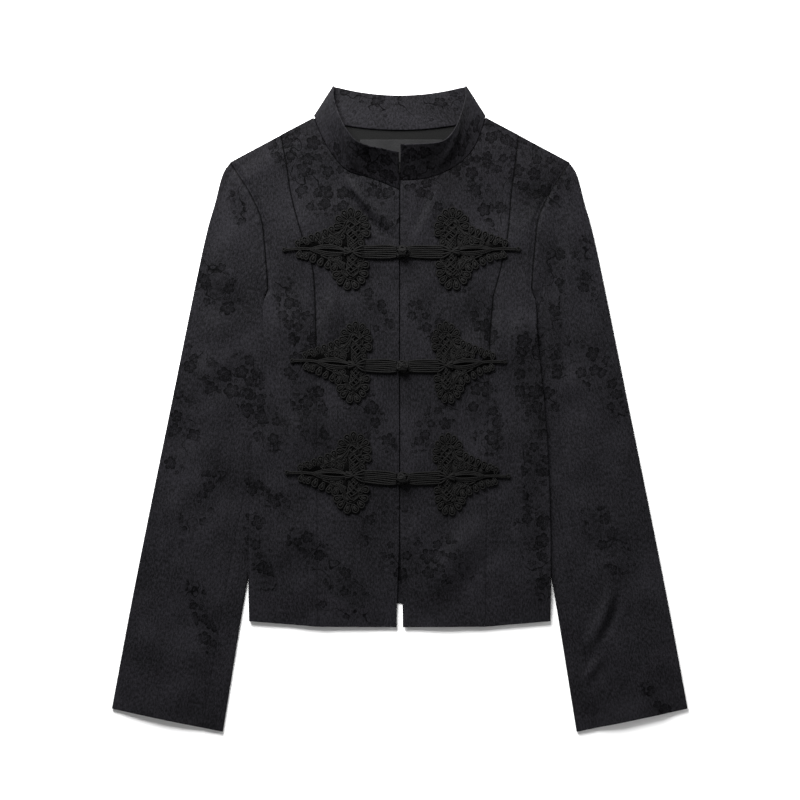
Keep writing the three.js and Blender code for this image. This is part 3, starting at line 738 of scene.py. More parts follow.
def sleeve_piece(part, side, material):
    """Upper or under sleeve: along the upper ply, round the folded edge and back below."""
    sign = SIGN[side]
    upper_part = part == "upper"
    edge = np.array(EDGE_STEPS) / SLEEVE_LENGTH
    middle_rows = np.linspace(edge[-1], 1 - edge[-1], SLEEVE_ROW_COUNT)[1:-1]
    rows = np.concatenate([edge, middle_rows, 1 - edge[::-1]])
    edge = np.array(EDGE_STEPS) / SLEEVE_WIDTH
    if upper_part:
        top = np.concatenate([UPPER_SEAM - edge, np.linspace(UPPER_SEAM - 0.04, 0.02, 40)])
        under = np.append(np.linspace(0.02, LOWER_SEAM - 0.02, 16), LOWER_SEAM)
        fold_at = 0.0
    else:
        top = np.concatenate([UPPER_SEAM + edge, np.linspace(UPPER_SEAM + 0.04, 0.98, 12)])
        under = np.append(np.linspace(0.98, LOWER_SEAM + 0.02, 24), LOWER_SEAM)
        fold_at = 1.0
    columns = np.concatenate([top, [fold_at], under])
    order = np.argsort(columns, kind="stable")
    back_again = np.argsort(order, kind="stable")
    plan, moved, seam = sleeve_plan(rows, columns[order])
    plan, seam = plan[:, back_again], seam[back_again]
    n_top = len(top)
    x, y = sign * plan[..., 0], plan[..., 1]
    upper = slice(0, n_top + 1)
    z_upper = ply_lay(x[:, upper], y[:, upper], seam[upper], moved, columns[upper], sign) + CLOTH / 2
    z_top, z_fold = z_upper[:, :-1], z_upper[:, -1]
    fold_x, fold_y = x[:, n_top], y[:, n_top]
    towards = np.stack([x[:, n_top - 1] - fold_x, y[:, n_top - 1] - fold_y], -1)
    towards /= np.linalg.norm(towards, axis=1, keepdims=True)
    radius = (z_fold - CLOTH / 2) / 2
    turn = np.linspace(0, np.pi, 11)
    inset = radius[:, None] * (1 - np.sin(turn)) + CLOTH / 2
    fold = np.stack([
        fold_x[:, None] + towards[:, :1] * inset,
        fold_y[:, None] + towards[:, 1:] * inset,
        CLOTH / 2 + radius[:, None] * (1 + np.cos(turn)),
    ], -1)
    top_points = np.stack([x[:, :n_top], y[:, :n_top], z_top], -1)
    under_x, under_y = x[:, n_top + 1 :], y[:, n_top + 1 :]
    under_points = np.stack([under_x, under_y, np.full_like(under_x, CLOTH / 2)], -1)
    run = (rows * SLEEVE_LENGTH)[:, None]
    steps = np.linalg.norm(np.diff(top_points[..., :2], axis=1), axis=2)
    from_seam = np.hstack([np.zeros((len(rows), 1)), np.cumsum(steps, axis=1)])
    top_points[..., 2] -= seam_dip(from_seam) * smoothstep(run, 0, 30)
    top_points[..., 2] += pucker(run, from_seam, seed=61 + sign, height=0.1)
    at_cap = mix(moved[:, :1], moved[:, 1:], columns[None, :n_top])
    top_points[..., 2] += pucker(columns[None, :n_top] * 150, at_cap, seed=71 + sign, reach=12)
    top_points[..., 2] -= ARMHOLE_DIP * seam_dip(at_cap)
    points = np.concatenate([top_points, fold, under_points], axis=1)
    width = points.shape[1]
    to_end = np.minimum(run, SLEEVE_LENGTH - run)
    ends = np.concatenate([[0, 0.1, 0.25, 0.5], np.full(width - 5, 9.0), [0]])[None, :]
    half = CLOTH / 2 * rounded(np.minimum(to_end, ends))
    # Places on the flat cloth, with the grain along the sleeve and the lower ply beyond the fold.
    tilt = math.radians(SLEEVE_GRAIN) * sign
    u = points[..., 0] * math.cos(tilt) + points[..., 1] * math.sin(tilt)
    v = -points[..., 0] * math.sin(tilt) + points[..., 1] * math.cos(tilt)
    past = np.zeros_like(u)
    past[:, n_top:] = 2 * np.abs(u[:, n_top:] - u[:, n_top : n_top + 1])
    u += sign * (past if upper_part else -past) + SLEEVE_CLOTH_SHIFT * sign
    uv = np.stack([u, v], -1)
    flip = (sign > 0) == upper_part
    lay_sheet(f"sleeve_{part}_{side}", points, half, uv, material, flip=flip)


# ---------- Collar ----------
def collar_half(side, front_steps=60, fold_steps=12, back_steps=40):
    """Seam line and top line of one half: the front, the fold at the side, and the back."""
    sign = SIGN[side]
    shares = np.linspace(0, 1, front_steps)
    neck = at_shares(neck_curve(side), shares)[:-2]
    top = at_shares(smooth_curve([(row["x"], row[side], row["z"]) for row in COLLAR_TOP]), shares)[:-2]
    to_neck = np.stack([-neck[:, 0] / 2, NECK_POINT[1] + 20 - neck[:, 1]], -1)
    to_neck *= COLLAR_SEAM_INSET / np.linalg.norm(to_neck, axis=1, keepdims=True)
    base = np.column_stack([neck + to_neck, front_lay(sign * neck[:, 0], neck[:, 1]) + COLLAR_CLOTH / 2])
    corner_top = dict(x=COLLAR_CORNER[0], y=COLLAR_CORNER[1], high=5, low=COLLAR_CLOTH / 2)
    corner_base = dict(
        x=NECK_POINT[0] - 0.6, y=NECK_POINT[1] + 1.4, high=NECK_POINT_LAY + 1.0, low=COLLAR_CLOTH / 2
    )
    line = np.array([corner_top["x"] - corner_base["x"], corner_top["y"] - corner_base["y"]])
    outwards = np.array([line[1], -line[0]]) / np.linalg.norm(line)
    angle = np.linspace(0, np.pi, fold_steps)

    def on_fold(corner):
        radius = (corner["high"] - corner["low"]) / 2
        flat = np.array([corner["x"], corner["y"]]) + outwards * (radius * (np.sin(angle) - 1))[:, None]
        return np.column_stack([flat, corner["low"] + radius * (1 + np.cos(angle))])

    share = np.linspace(0, 1, back_steps)[1:]
    base_x = mix(corner_base["x"] - 2, 0, share)
    top_x = mix(corner_top["x"] - 2, 0, share)
    dip = COLLAR_BACK_DIP * (1 - (top_x / COLLAR_CORNER[0]) ** 2)
    lift = COLLAR_BASE_LIFT * smoothstep(share, 0, 0.3)
    back_base = np.column_stack([base_x, back_top_y(base_x) + 1 - 0.9 * lift, COLLAR_CLOTH / 2 + lift])
    back_top = np.column_stack([top_x, COLLAR_CORNER[1] - dip, np.full_like(top_x, COLLAR_CLOTH / 2)])
    bases = np.vstack([base, on_fold(corner_base), back_base])
    tops = np.vstack([top, on_fold(corner_top), back_top])
    return bases * [sign, 1, 1], tops * [sign, 1, 1]


def smooth_rows(points, passes):
    """Softens a strip along its length, its ends held."""
    for _ in range(passes):
        points[1:-1] = points[1:-1] * 0.5 + (points[:-2] + points[2:]) * 0.25
    return points


def collar(material):
    right_base, right_top = collar_half("right")
    left_base, left_top = collar_half("left")
    base = np.vstack([right_base, left_base[::-1][1:]])
    top = np.vstack([right_top, left_top[::-1][1:]])
    base, top = smooth_rows(base, 3), smooth_rows(top, 3)
    stations = spread(COLLAR_HEIGHT, 14) / COLLAR_HEIGHT
    from_base = stations * COLLAR_HEIGHT
    points = base[:, None] + (top - base)[:, None] * stations[None, :, None]
    run = travelled(top)[:, None]
    from_centre = run - run[-1] / 2
    # The band bellies a little between its edges, and dents where it leans.
    belly = COLLAR_BELLY * np.sin(np.pi * stations)[None, :] * smoothstep(np.abs(from_centre), 80, 120)
    folds = belly + relief(from_centre, from_base[None, :], COLLAR_DENTS)
    points = points - grid_normals(points) * folds[..., None] * COLLAR_FOLD_SHARE
    from_ends = np.minimum(run, run[-1] - run)
    nearest = np.minimum(np.minimum(from_base, COLLAR_HEIGHT - from_base)[None, :], from_ends)
    half = COLLAR_CLOTH / 2 * rounded(nearest, COLLAR_EDGE_ROUND)
    uv = np.stack(np.broadcast_arrays(run + 300, from_base[None, :] + 500), -1)
    lay_sheet("collar", points, half, uv, material)


def neck_trims(facing_material, label_material):
    """The shaped facing inside the back neck, and the bare satin label on it."""
    across = np.linspace(-FACING_HALF, FACING_HALF, 79)
    down = spread(FACING_DEPTH, 10)[:, None]
    x = np.repeat(across[None, :], len(down), 0)
    y = back_top_y(across)[None, :] - 1 - down
    z = FACING_LAY + TRIM_CLOTH / 2 + 0.12 * np.sin(x / 9) * np.exp(-((down - 40) / 9) ** 2)
    nearest = np.minimum(np.minimum(down, FACING_DEPTH - down), FACING_HALF - np.abs(x))
    points, half = np.stack([x, y, z], -1), TRIM_CLOTH / 2 * rounded(nearest)
    cloth = points[..., :2]
    lay_sheet("back_neck_facing", points, half, cloth, facing_material, flip=True)
    wide, tall = spread(LABEL_SIZE[0], 30)[None, :], spread(LABEL_SIZE[1], 8)[:, None]
    x, y = np.broadcast_arrays(wide + LABEL_CORNER[0], LABEL_CORNER[1] - tall)
    creases = 0.3 * np.sin(x / 4.6 + y / 7) * np.sin(x / 13)
    z = LABEL_LAY - 0.1 + 0.3 * np.sin(np.pi * wide / LABEL_SIZE[0]) + creases
    nearest = np.minimum(np.minimum(tall, LABEL_SIZE[1] - tall), np.minimum(wide, LABEL_SIZE[0] - wide))
    points, half = np.stack([x, y, z], -1), 0.25 * rounded(nearest)
    lay_sheet("neck_label", points, half, points[..., :2], label_material, flip=True)


def distance_to(a, b, x, y):
    ax, ay = a
    dx, dy = b[0] - ax, b[1] - ay
    t = np.clip(((x - ax) * dx + (y - ay) * dy) / (dx * dx + dy * dy), 0, 1)
    return np.hypot(x - ax - t * dx, y - ay - t * dy)


def sheet_points(piece):
    """Across and up, in millimetres, of each point of a sheet."""
    points = np.empty(len(piece.data.vertices) * 3)
    piece.data.vertices.foreach_get("co", points)
    points = points.reshape(-1, 3) / MM
    return points[:, 0], points[:, 1]


def write_layer(piece, name, amount):
    layer = piece.data.attributes.new(name, "FLOAT", "POINT")
    layer.data.foreach_set("value", amount)


def seam_lines():
    """The armhole and princess seams of both sides, as the garment lies."""
    lines = []
    for side, sign in SIGN.items():
        low, high = princess_curves(side)
        for line in (smooth_curve(ARMHOLE), low, high):
            lines.append(np.asarray(line)[::4] * [sign, 1])
    return lines


def paint_seam_shade(piece):
    """Writes a painted shade line along the armhole and princess seams, darkest high on the body."""
    x, y = sheet_points(piece)
    amount = np.zeros(len(x))
    for line in seam_lines():
        for a, b in zip(line[:-1], line[1:]):
            near = 1 - smoothstep(distance_to(a, b, x, y), *SEAM_SHADE)
            amount = np.maximum(amount, near * mix(SEAM_SHADE_LOW, 1, smoothstep(y, *SEAM_SHADE_FADE_Y)))
    write_layer(piece, "seam", amount)


def paint_sprays(piece, sprays):
    """Writes how thickly the blossom lies at each point of a sheet."""
    x, y = sheet_points(piece)
    amount = np.zeros(len(x))
    for ax, ay, bx, by, width, strength in sprays:
        near = 1 - smoothstep(distance_to((ax, ay), (bx, by), x, y), width * 0.5, width * 1.7)
        amount = np.maximum(amount, near * strength)
    write_layer(piece, "spray", amount)


# ---------- Cords ----------
def tube(path, radius, sides=7, closed=False):
    """Vertices, faces and cloth coordinates of a round cord along a path of points."""
    path = np.asarray(path, float)
    if closed:
        ahead, behind = np.roll(path, -1, 0), np.roll(path, 1, 0)
    else:
        ahead, behind = np.vstack([path[1:], path[-1:]]), np.vstack([path[:1], path[:-1]])
    tangent = ahead - behind
    tangent /= np.maximum(np.linalg.norm(tangent, axis=1, keepdims=True), 1e-9)
    level = np.cross(tangent, [0, 0, 1.0])
    level /= np.maximum(np.linalg.norm(level, axis=1, keepdims=True), 1e-9)
    rise = np.cross(level, tangent)
    angle = np.linspace(0, 2 * np.pi, sides, endpoint=False)
    radius = np.broadcast_to(radius, len(path))[:, None, None]
    across, up = np.cos(angle)[None, :, None], np.sin(angle)[None, :, None]
    ring = level[:, None] * across + rise[:, None] * up
    vertices = (path[:, None] + ring * radius).reshape(-1, 3)
    count = len(path)
    faces = []
    for i in range(count if closed else count - 1):
        j = (i + 1) % count
        for k in range(sides):
            n = (k + 1) % sides
            faces.append((i * sides + k, j * sides + k, j * sides + n, i * sides + n))
    if not closed:
        faces.append(tuple(range(sides)))
        faces.append(tuple(range((count - 1) * sides, count * sides))[::-1])
    run = travelled(path)
    uv = np.stack(np.broadcast_arrays(run[:, None], angle[None, :]), -1).reshape(-1, 2)
    return vertices, faces, uv


def join_tubes(tubes):
    """Many cords and pads as the vertices, faces and cloth coordinates of one mesh."""
    vertices, faces, uvs, start = [], [], [], 0
    for v, f, uv in tubes:
        vertices.append(v)
        faces.extend(tuple(i + start for i in face) for face in f)
        uvs.append(uv)
        start += len(v)
    return np.vstack(vertices), faces, np.vstack(uvs)


def petal_tubes(middle, turn, length=PETAL_LENGTH, width=PETAL_WIDTH, rings=2):
    """A petal of nested loops of cord round its middle, on a small dark felt pad that is also painted shade
    in the gaps between the loops.
    """
    tubes = []
    radius = PETAL_CORD / 2
    centre = length / 2 - width / 2
    for ring in range(rings):
        half = max(width / 2 - radius - ring * PETAL_PITCH, 0.35)
        tail = -length / 2 + 0.6 + ring * 1.9
        arc = np.radians(np.linspace(-108, 108, 13))
        a = np.concatenate([[tail], centre + half * np.cos(arc), [tail]])
        b = np.concatenate([[-0.3 * half], half * np.sin(arc), [0.3 * half]])
        x = middle[0] + a * math.cos(turn) - b * math.sin(turn)
        y = middle[1] + a * math.sin(turn) + b * math.cos(turn)
        z = radius + 0.7 + 0.18 * ring - 0.035 * a
        tubes.append(tube(np.column_stack([x, y, z]), radius, 6, closed=True))
    # The pad is dark felt backing and also painted shade in the petal's hollow.
    tubes.append(felt_pad_and_gap_shade(middle, turn, length * 0.46, width * 0.42))
    return tubes


def felt_and_gap_shade(outline, low, high):
    """A flat piece of dark felt under the cords, from its outline; it also stands in as painted shade in the
    gaps between them.
    """
    corners = len(outline)
    upper = np.column_stack([outline, np.full(corners, high)])
    lower = np.column_stack([outline, np.full(corners, low)])
    faces = [tuple(range(corners)), tuple(range(corners, 2 * corners))[::-1]]
    for i in range(corners):
        j = (i + 1) % corners
        faces.append((i + corners, j + corners, j, i))
    return np.vstack([upper, lower]), faces, np.vstack([outline, outline])


def felt_pad_and_gap_shade(middle, turn, half_length, half_width, corners=12):
    """A small oval of dark felt, which is also painted shade in the gaps of the cords above it."""
    angle = np.linspace(0, 2 * np.pi, corners, endpoint=False)
    a, b = half_length * np.cos(angle), half_width * np.sin(angle)
    x = middle[0] + a * math.cos(turn) - b * math.sin(turn)
    y = middle[1] + a * math.sin(turn) + b * math.cos(turn)
    return felt_and_gap_shade(np.column_stack([x, y]), 0.1, 0.8)


def fan_line(side, count=60):
    """The line of the petals' middles: round the fan, then down the taper to the tail."""
    fan = FANS[side]
    angle = np.radians(np.linspace(fan["start"], fan["stop"], count))
    arc = np.column_stack([
        fan["centre"][0] + fan["radii"][0] * np.cos(angle),
        fan["centre"][1] + fan["radii"][1] * np.sin(angle),
    ])
    t = np.linspace(0, 1, count)[1:, None]
    taper = arc[-1] + (np.array(fan["end"]) - arc[-1]) * t
    taper[:, 1] -= fan["sag"] * np.sin(np.pi * t[:, 0])
    return np.vstack([arc, taper]) * [1, side]


def line_normals(line, side):
    """Directions square to a line, away from the frog's middle."""
    tangent = np.gradient(line, axis=0)
    tangent /= np.linalg.norm(tangent, axis=1, keepdims=True)
    return np.column_stack([-tangent[:, 1], tangent[:, 0]]) * side


def even_places(line, spacing):
    """Indices of a line at even spacing, half a step in from each end."""
    run = travelled(line)
    count = int(round(run[-1] / spacing))
    places = (np.arange(count) + 0.5) / count
    return [(int(np.searchsorted(run, share * run[-1])), share) for share in places]


def wavy_cord(u, v, z, radius=SPINE_CORD / 2, sides=6):
    return tube(np.column_stack(np.broadcast_arrays(u, v, z)), radius, sides)


def fan_tubes(side, draw):
    """A fan and its taper: petals outside, curls inside them, and cords round the hollow."""
    tubes = []
    line = fan_line(side)
    normals = line_normals(line, side)
    for k, share in even_places(line, PETAL_SPACING):
        turn = math.atan2(normals[k, 1], normals[k, 0]) + draw.uniform(-0.16, 0.16)
        size = 1 - 0.2 * float(smoothstep(share, 0.45, 1.0)) + draw.uniform(-0.06, 0.05)
        middle = line[k] + normals[k] * draw.uniform(-0.4, 0.4)
        tubes += petal_tubes(middle, turn, PETAL_LENGTH * size, PETAL_WIDTH * size)
    for depth, first in ((8.6, 0.3), (15.2, 0.4)):
        inner = line - normals * depth
        for k, share in even_places(inner, 6.0):
            if share > first and abs(inner[k, 1]) > 6.6:
                turn = math.atan2(normals[k, 1], normals[k, 0]) + draw.uniform(-0.6, 0.6)
                tubes += petal_tubes(inner[k], turn, 7.2, 6.4)
    for k, (u, v) in enumerate(FILLERS):
        tubes += petal_tubes((u, side * v * 0.94), side * (1.2 + 1.9 * k), 8.2, 7.2)
    for row in range(4):
        path = line - normals * (6.4 + row * SPINE_CORD * 1.05)
        stop = 60 + (26, 14, 4, 0)[row]
        path = path[3 + row : stop : 3]
        wave = np.sin(np.arange(len(path)) * 1.3 + row * 2.1)
        tubes.append(wavy_cord(path[:, 0] + 0.25 * wave, path[:, 1], 2.0 + 0.5 * wave))
    return tubes


def band_tubes():
    """The cords side by side from the knot to the tie, where they cross over."""
    tubes = []
    middle = (BAND_CORDS - 1) / 2
    for i in range(BAND_CORDS):
        offset = (i - middle) * BAND_CORD * 1.04
        u = np.linspace(6.4, TIE_FROM, 24)
        v = offset * mix(0.78, 1.0, smoothstep(u, 3, 16)) + 0.2 * np.sin(u / 6 + i * 1.7)
        z = BAND_CORD / 2 + 0.9 + 0.12 * np.sin(u / 4 + i * 2.3)
        u2 = np.linspace(TIE_FROM, TIE_TO, 14)[1:]
        t = (u2 - TIE_FROM) / (TIE_TO - TIE_FROM)
        v2 = mix(v[-1], -offset * 0.62, smoothstep(t, 0, 1))
        z2 = 3.1 + 0.9 * np.sin(np.pi * t * 2 + i * math.pi)
        tubes.append(wavy_cord(np.append(u, u2), np.append(v, v2), np.append(z, z2), BAND_CORD / 2, 8))
    return tubes


def plait_tubes(draw):
    """The upright plait that crosses the tie, from one fan to the other."""
    tubes = []
    for k in range(8):
        phase = k * math.pi / 4
        v = np.linspace(-28 + (k % 3), 33 - (k % 3), 60)
        swing = PLAIT_HALF * (0.7 + 0.45 * np.abs(v) / 30) * draw.uniform(0.8, 1.15)
        pitch = 4.6 * draw.uniform(0.9, 1.15)
        u = PLAIT_U + swing * np.sin(v / pitch + phase) + draw.uniform(-0.8, 0.8)
        z = 2.3 + 0.85 * np.cos(v / 2.3 + 2 * phase)
        tubes.append(wavy_cord(u, v, z))
    return tubes


def leaf_and_tail_tubes():
    """Long loops round a narrow hollow, and the doubled tail with its curled end."""
    tubes = []
    for row in range(3):
        half = 2.1 + row * 1.75
        length = (LEAF_TO - TIE_TO) + 2 + row * 2.6
        t = np.linspace(0, 1, 20)
        u = TIE_TO - 3 + length * t
        v = half * np.sin(np.pi * t**0.85) ** 0.8
        z = np.full_like(u, SPINE_CORD / 2 + 1.9 - 0.3 * row)
        u, v, z = np.append(u, u[::-1][1:]), np.append(v, -v[::-1][1:]), np.append(z, z[1:])
        tubes.append(wavy_cord(u, v, z, SPINE_CORD / 2, 7))
    for offset in (-0.8, 0.8):
        u = np.linspace(LEAF_TO - 3, FROG_LENGTH - 5.5, 14)
        tubes.append(wavy_cord(u, offset + 0.7 * np.sin((u - LEAF_TO) / 9), 2.0, PETAL_CORD / 2))
    curl = np.radians(np.linspace(200, 650, 26))
    radius = np.linspace(2.5, 1.0, 26)
    u, v = FROG_LENGTH - 3.4 + radius * np.cos(curl), 0.4 + radius * np.sin(curl)
    tubes.append(wavy_cord(u, v, 1.6 + 0.02 * np.arange(26), PETAL_CORD / 2))
    # Dark felt under the leaf and the band, also standing in as painted shade between their cords.
    tubes.append(felt_pad_and_gap_shade((80, 0), 0, 22, 4.5))
    tubes.append(felt_pad_and_gap_shade((24, 0), 0, 24, 7.2))
    return tubes


def frog_tubes():
    """One frog, flat, with u from its knot outwards and v up."""
    draw = random.Random(5)
    tubes = []
    for side in (1, -1):
        tubes += fan_tubes(side, draw)
        outline = np.vstack([[40, side * 2], fan_line(side)[::6], [112, side * 1]])
        # Dark felt under each fan, also standing in as painted shade between its cords.
        tubes.append(felt_and_gap_shade(outline[::-side], 0.05, 0.8))
    return join_tubes(tubes + plait_tubes(draw) + band_tubes() + leaf_and_tail_tubes())


def finish_cords(piece, node, material):
    piece.data.materials.append(material)
    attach(piece, "root")
    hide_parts(node)


def lay_frog(flat_frog, height, side, material):
    """A copy of the frog, turned to its side and laid on its front."""
    vertices, faces, uvs = flat_frog
    frog = FROGS[height]
    sign = SIGN[side]
    tilt = math.radians(frog["tilt"][side])
    u, v, up = vertices.T
    # A short frog is drawn in between its band and its tail.
    u = u * mix(1, frog[side] / FROG_LENGTH, smoothstep(u, 10, 60))
    v = v + 0.5 * np.sin(u / 17 + frog["y"]) + 0.35 * np.sin(v / 6 + u / 11 + sign)
    x = KNOT_X + sign * (u * math.cos(tilt) - v * math.sin(tilt))
    y = frog["y"] + u * math.sin(tilt) + v * math.cos(tilt)
    z = front_lay(x, y) + CLOTH + 0.15 + up
    if sign < 0:
        faces = [face[::-1] for face in faces]
    piece = link_mesh(f"frog_{height}_{side}_cords", np.column_stack([x, y, z]), faces, uvs)
    finish_cords(piece, f"frog_{height}_{side}", material)


def knot_tubes():
    """A ball button: one cord wound over and under round a core."""
    t = np.linspace(0, 2 * np.pi, 180, endpoint=False)
    longitude = 3 * t
    latitude = 1.02 * np.sin(4 * t)
    radius = KNOT_RADIUS - KNOT_CORD / 2 - 0.35 + 0.55 * np.cos(8 * t)
    wound = np.column_stack([
        radius * np.cos(latitude) * np.cos(longitude),
        radius * np.cos(latitude) * np.sin(longitude),
        radius * np.sin(latitude),
    ])
    return tube(wound, KNOT_CORD / 2, 8, closed=True)


def select_faces(piece, wanted):
    """Leaves edit mode with just the faces selected that a test picks by their middle."""
    bpy.ops.object.mode_set(mode="EDIT")
    bpy.ops.mesh.select_mode(type="FACE")
    bpy.ops.mesh.select_all(action="DESELECT")
    bpy.ops.object.mode_set(mode="OBJECT")
    for polygon in piece.data.polygons:
        polygon.select = wanted(polygon.center)
    bpy.ops.object.mode_set(mode="EDIT")


def knot_core():
    """The padded core of a knot: a rounded block, drawn out to a shank where it is sewn on."""
    size = (KNOT_RADIUS - 2.6) * 2 * MM
    bpy.ops.object.select_all(action="DESELECT")
    bpy.ops.mesh.primitive_cube_add(size=size, location=(0, 0, 0))
    core = bpy.context.object
    select_faces(core, lambda place: place.z < -0.4 * size)
    bpy.ops.mesh.inset(thickness=size * 0.2, depth=0)
    bpy.ops.mesh.extrude_region_move(TRANSFORM_OT_translate={"value": (0, 0, -SHANK * MM)})
    bpy.ops.mesh.select_all(action="SELECT")
    bpy.ops.mesh.bevel(offset=size * 0.12, segments=1, affect="EDGES")
    bpy.ops.object.mode_set(mode="OBJECT")
    rounding = core.modifiers.new("rounding", "SUBSURF")
    rounding.levels = 2
    rounding.render_levels = 2
    bpy.ops.object.modifier_apply(modifier=rounding.name)
    bpy.ops.object.shade_smooth()
    return core


def copy_of(model, name, place):
    """A copy of a finished piece with its own mesh, moved to its place."""
    piece = model.copy()
    piece.data = model.data.copy()
    piece.name = name
    piece.data.transform(Matrix.Translation(place))
    bpy.context.scene.collection.objects.link(piece)
    return piece


def make_knot(height, core_model, material):
    """The knot button: cord wound round its core, tipped a little, in the frog's loop."""
    y = FROGS[height]["y"]
    z = float(front_lay(np.array(KNOT_X), np.array(y))) + CLOTH + KNOT_RADIUS - 1.0
    centre = np.array([KNOT_X, y, z])
    core = copy_of(core_model, f"knot_{height}_core", centre * MM)
    turn, tip = KNOT_TURN[height], KNOT_TIP
    vertices, faces, uvs = knot_tubes()
    a, b, c = vertices.T
    a, b = a * math.cos(turn) - b * math.sin(turn), a * math.sin(turn) + b * math.cos(turn)
    b, c = b * math.cos(tip) - c * math.sin(tip), b * math.sin(tip) + c * math.cos(tip)
    ball = link_mesh(f"knot_{height}_cords", np.column_stack([a, b, c * KNOT_FLATNESS]) + centre, faces, uvs)
    # The loop of the right frog goes round the neck of the knot.
    angle = np.radians(np.linspace(-142, 142, 34))
    loop_x = KNOT_X + 0.4 + (KNOT_RADIUS + 0.3) * np.cos(angle)
    loop_y = y + (KNOT_RADIUS + 0.1) * np.sin(angle)
    path = np.column_stack([loop_x, loop_y, front_lay(loop_x, loop_y) + CLOTH + 2.4])
    loop = link_mesh(f"knot_{height}_loop", *tube(path, BAND_CORD / 2, 8))
    for piece in (core, ball, loop):
        finish_cords(piece, f"knot_{height}", material)


# ---------- Materials: colours as linear values, lengths in metres ----------
FULL_TURN = 6.283
GROUND_LIGHT = (0.0132, 0.0126, 0.0152, 1)
GROUND_DARK = (0.0024, 0.0024, 0.0027, 1)
MOTIF_COLOUR = (0.0005, 0.0005, 0.0006, 1)
# Colour of the painted shade line along the seams.
SEAM_SHADE_COLOUR = (0.0003, 0.0003, 0.0003, 1)
FACING_TWILL = dict(
    dark=(0.0008, 0.0008, 0.0008, 1),
    light=(0.0028, 0.0029, 0.0029, 1),
    pitch=0.0014,
    roughness=0.6,
)
LABEL_SATIN = dict(
    dark=(0.008, 0.008, 0.0085, 1),
    light=(0.015, 0.015, 0.0155, 1),
    pitch=0.0008,
    roughness=0.45,
)
CORD_DARK = (0.0004, 0.0004, 0.0005, 1)
CORD_LIGHT = (0.0052, 0.005, 0.0048, 1)
FLOOR_DARK = (0.93, 0.93, 0.93, 1)
FLOOR_LIGHT = (0.95, 0.95, 0.95, 1)
# Large blossoms, small ones and buds: how far the layer is moved, its cell, the blossom's
# radius, and the share of the cells that a full spray fills.
BLOSSOM_LAYERS = [
    (None, 0.0182, 0.0080, 0.8),
    ((0.37, 0.11, 0.0), 0.0132, 0.0054, 0.55),
    ((0.71, 0.53, 0.0), 0.0068, 0.0023, 0.6),
]


class Net:
    """Short calls for the nodes of one tree."""

    def __init__(self, tree):
        self.tree = tree

    def feed(self, socket, value):
        if isinstance(value, bpy.types.NodeSocket):
            self.tree.links.new(value, socket)
        elif value is not None:
            socket.default_value = value

    def math(self, operation, a, b=None, c=None):
        node = self.tree.nodes.new("ShaderNodeMath")
        node.operation = operation
        for socket, value in zip(node.inputs, (a, b, c)):
            self.feed(socket, value)
        return node.outputs[0]

    def vector(self, operation, a, b=None, scale=None, output="Vector"):
        node = self.tree.nodes.new("ShaderNodeVectorMath")
        node.operation = operation
        self.feed(node.inputs[0], a)
        self.feed(node.inputs[1], b)
        if scale is not None:
            self.feed(node.inputs["Scale"], scale)
        return node.outputs[output]

    def band(self, value, low, high, to_low=0.0, to_high=1.0):
        node = self.tree.nodes.new("ShaderNodeMapRange")
        node.interpolation_type = "SMOOTHSTEP"
        for socket, given in zip(node.inputs, (value, low, high, to_low, to_high)):
            self.feed(socket, given)
        return node.outputs[0]

    def noise(self, vector, scale, detail=2.0, roughness=0.5):
        node = self.tree.nodes.new("ShaderNodeTexNoise")
        self.feed(node.inputs["Vector"], vector)
        node.inputs["Scale"].default_value = scale
        node.inputs["Detail"].default_value = detail
        node.inputs["Roughness"].default_value = roughness
        return node.outputs["Fac"]

    def separate(self, vector):
        node = self.tree.nodes.new("ShaderNodeSeparateXYZ")
        self.feed(node.inputs[0], vector)
        return node.outputs

    def attribute(self, name):
        node = self.tree.nodes.new("ShaderNodeAttribute")
        node.attribute_name = name
        return node.outputs["Fac"]

    def raise_surface(self, shader, height, strength, distance):
        node = self.tree.nodes.new("ShaderNodeBump")
        node.inputs["Strength"].default_value = strength
        node.inputs["Distance"].default_value = distance
        self.feed(node.inputs["Height"], height)
        self.feed(shader.inputs["Normal"], node.outputs[0])

    def mix_color(self, factor, a, b):
        node = self.tree.nodes.new("ShaderNodeMix")
        node.data_type = "RGBA"
        self.feed(node.inputs[0], factor)
        self.feed(node.inputs[6], a)
        self.feed(node.inputs[7], b)
        return node.outputs[2]


def new_material(name):
    """A material, its shader, and the short calls for its nodes."""
    material = bpy.data.materials.new(name)
    material.use_nodes = True
    return material, material.node_tree.nodes["Principled BSDF"], Net(material.node_tree)


def settle(shader, values):
    """Sets what is the same all over on the shader's own sockets."""
    for label, value in values.items():
        shader.inputs[label].default_value = value


def new_group(name, inputs, outputs):
    """A node group with its named inputs and outputs."""
    tree = bpy.data.node_groups.new(name, "ShaderNodeTree")
    for label, kind in inputs:
        tree.interface.new_socket(name=label, in_out="INPUT", socket_type=kind)
    for label, kind in outputs:
        tree.interface.new_socket(name=label, in_out="OUTPUT", socket_type=kind)
    return tree, tree.nodes.new("NodeGroupInput").outputs, tree.nodes.new("NodeGroupOutput").inputs


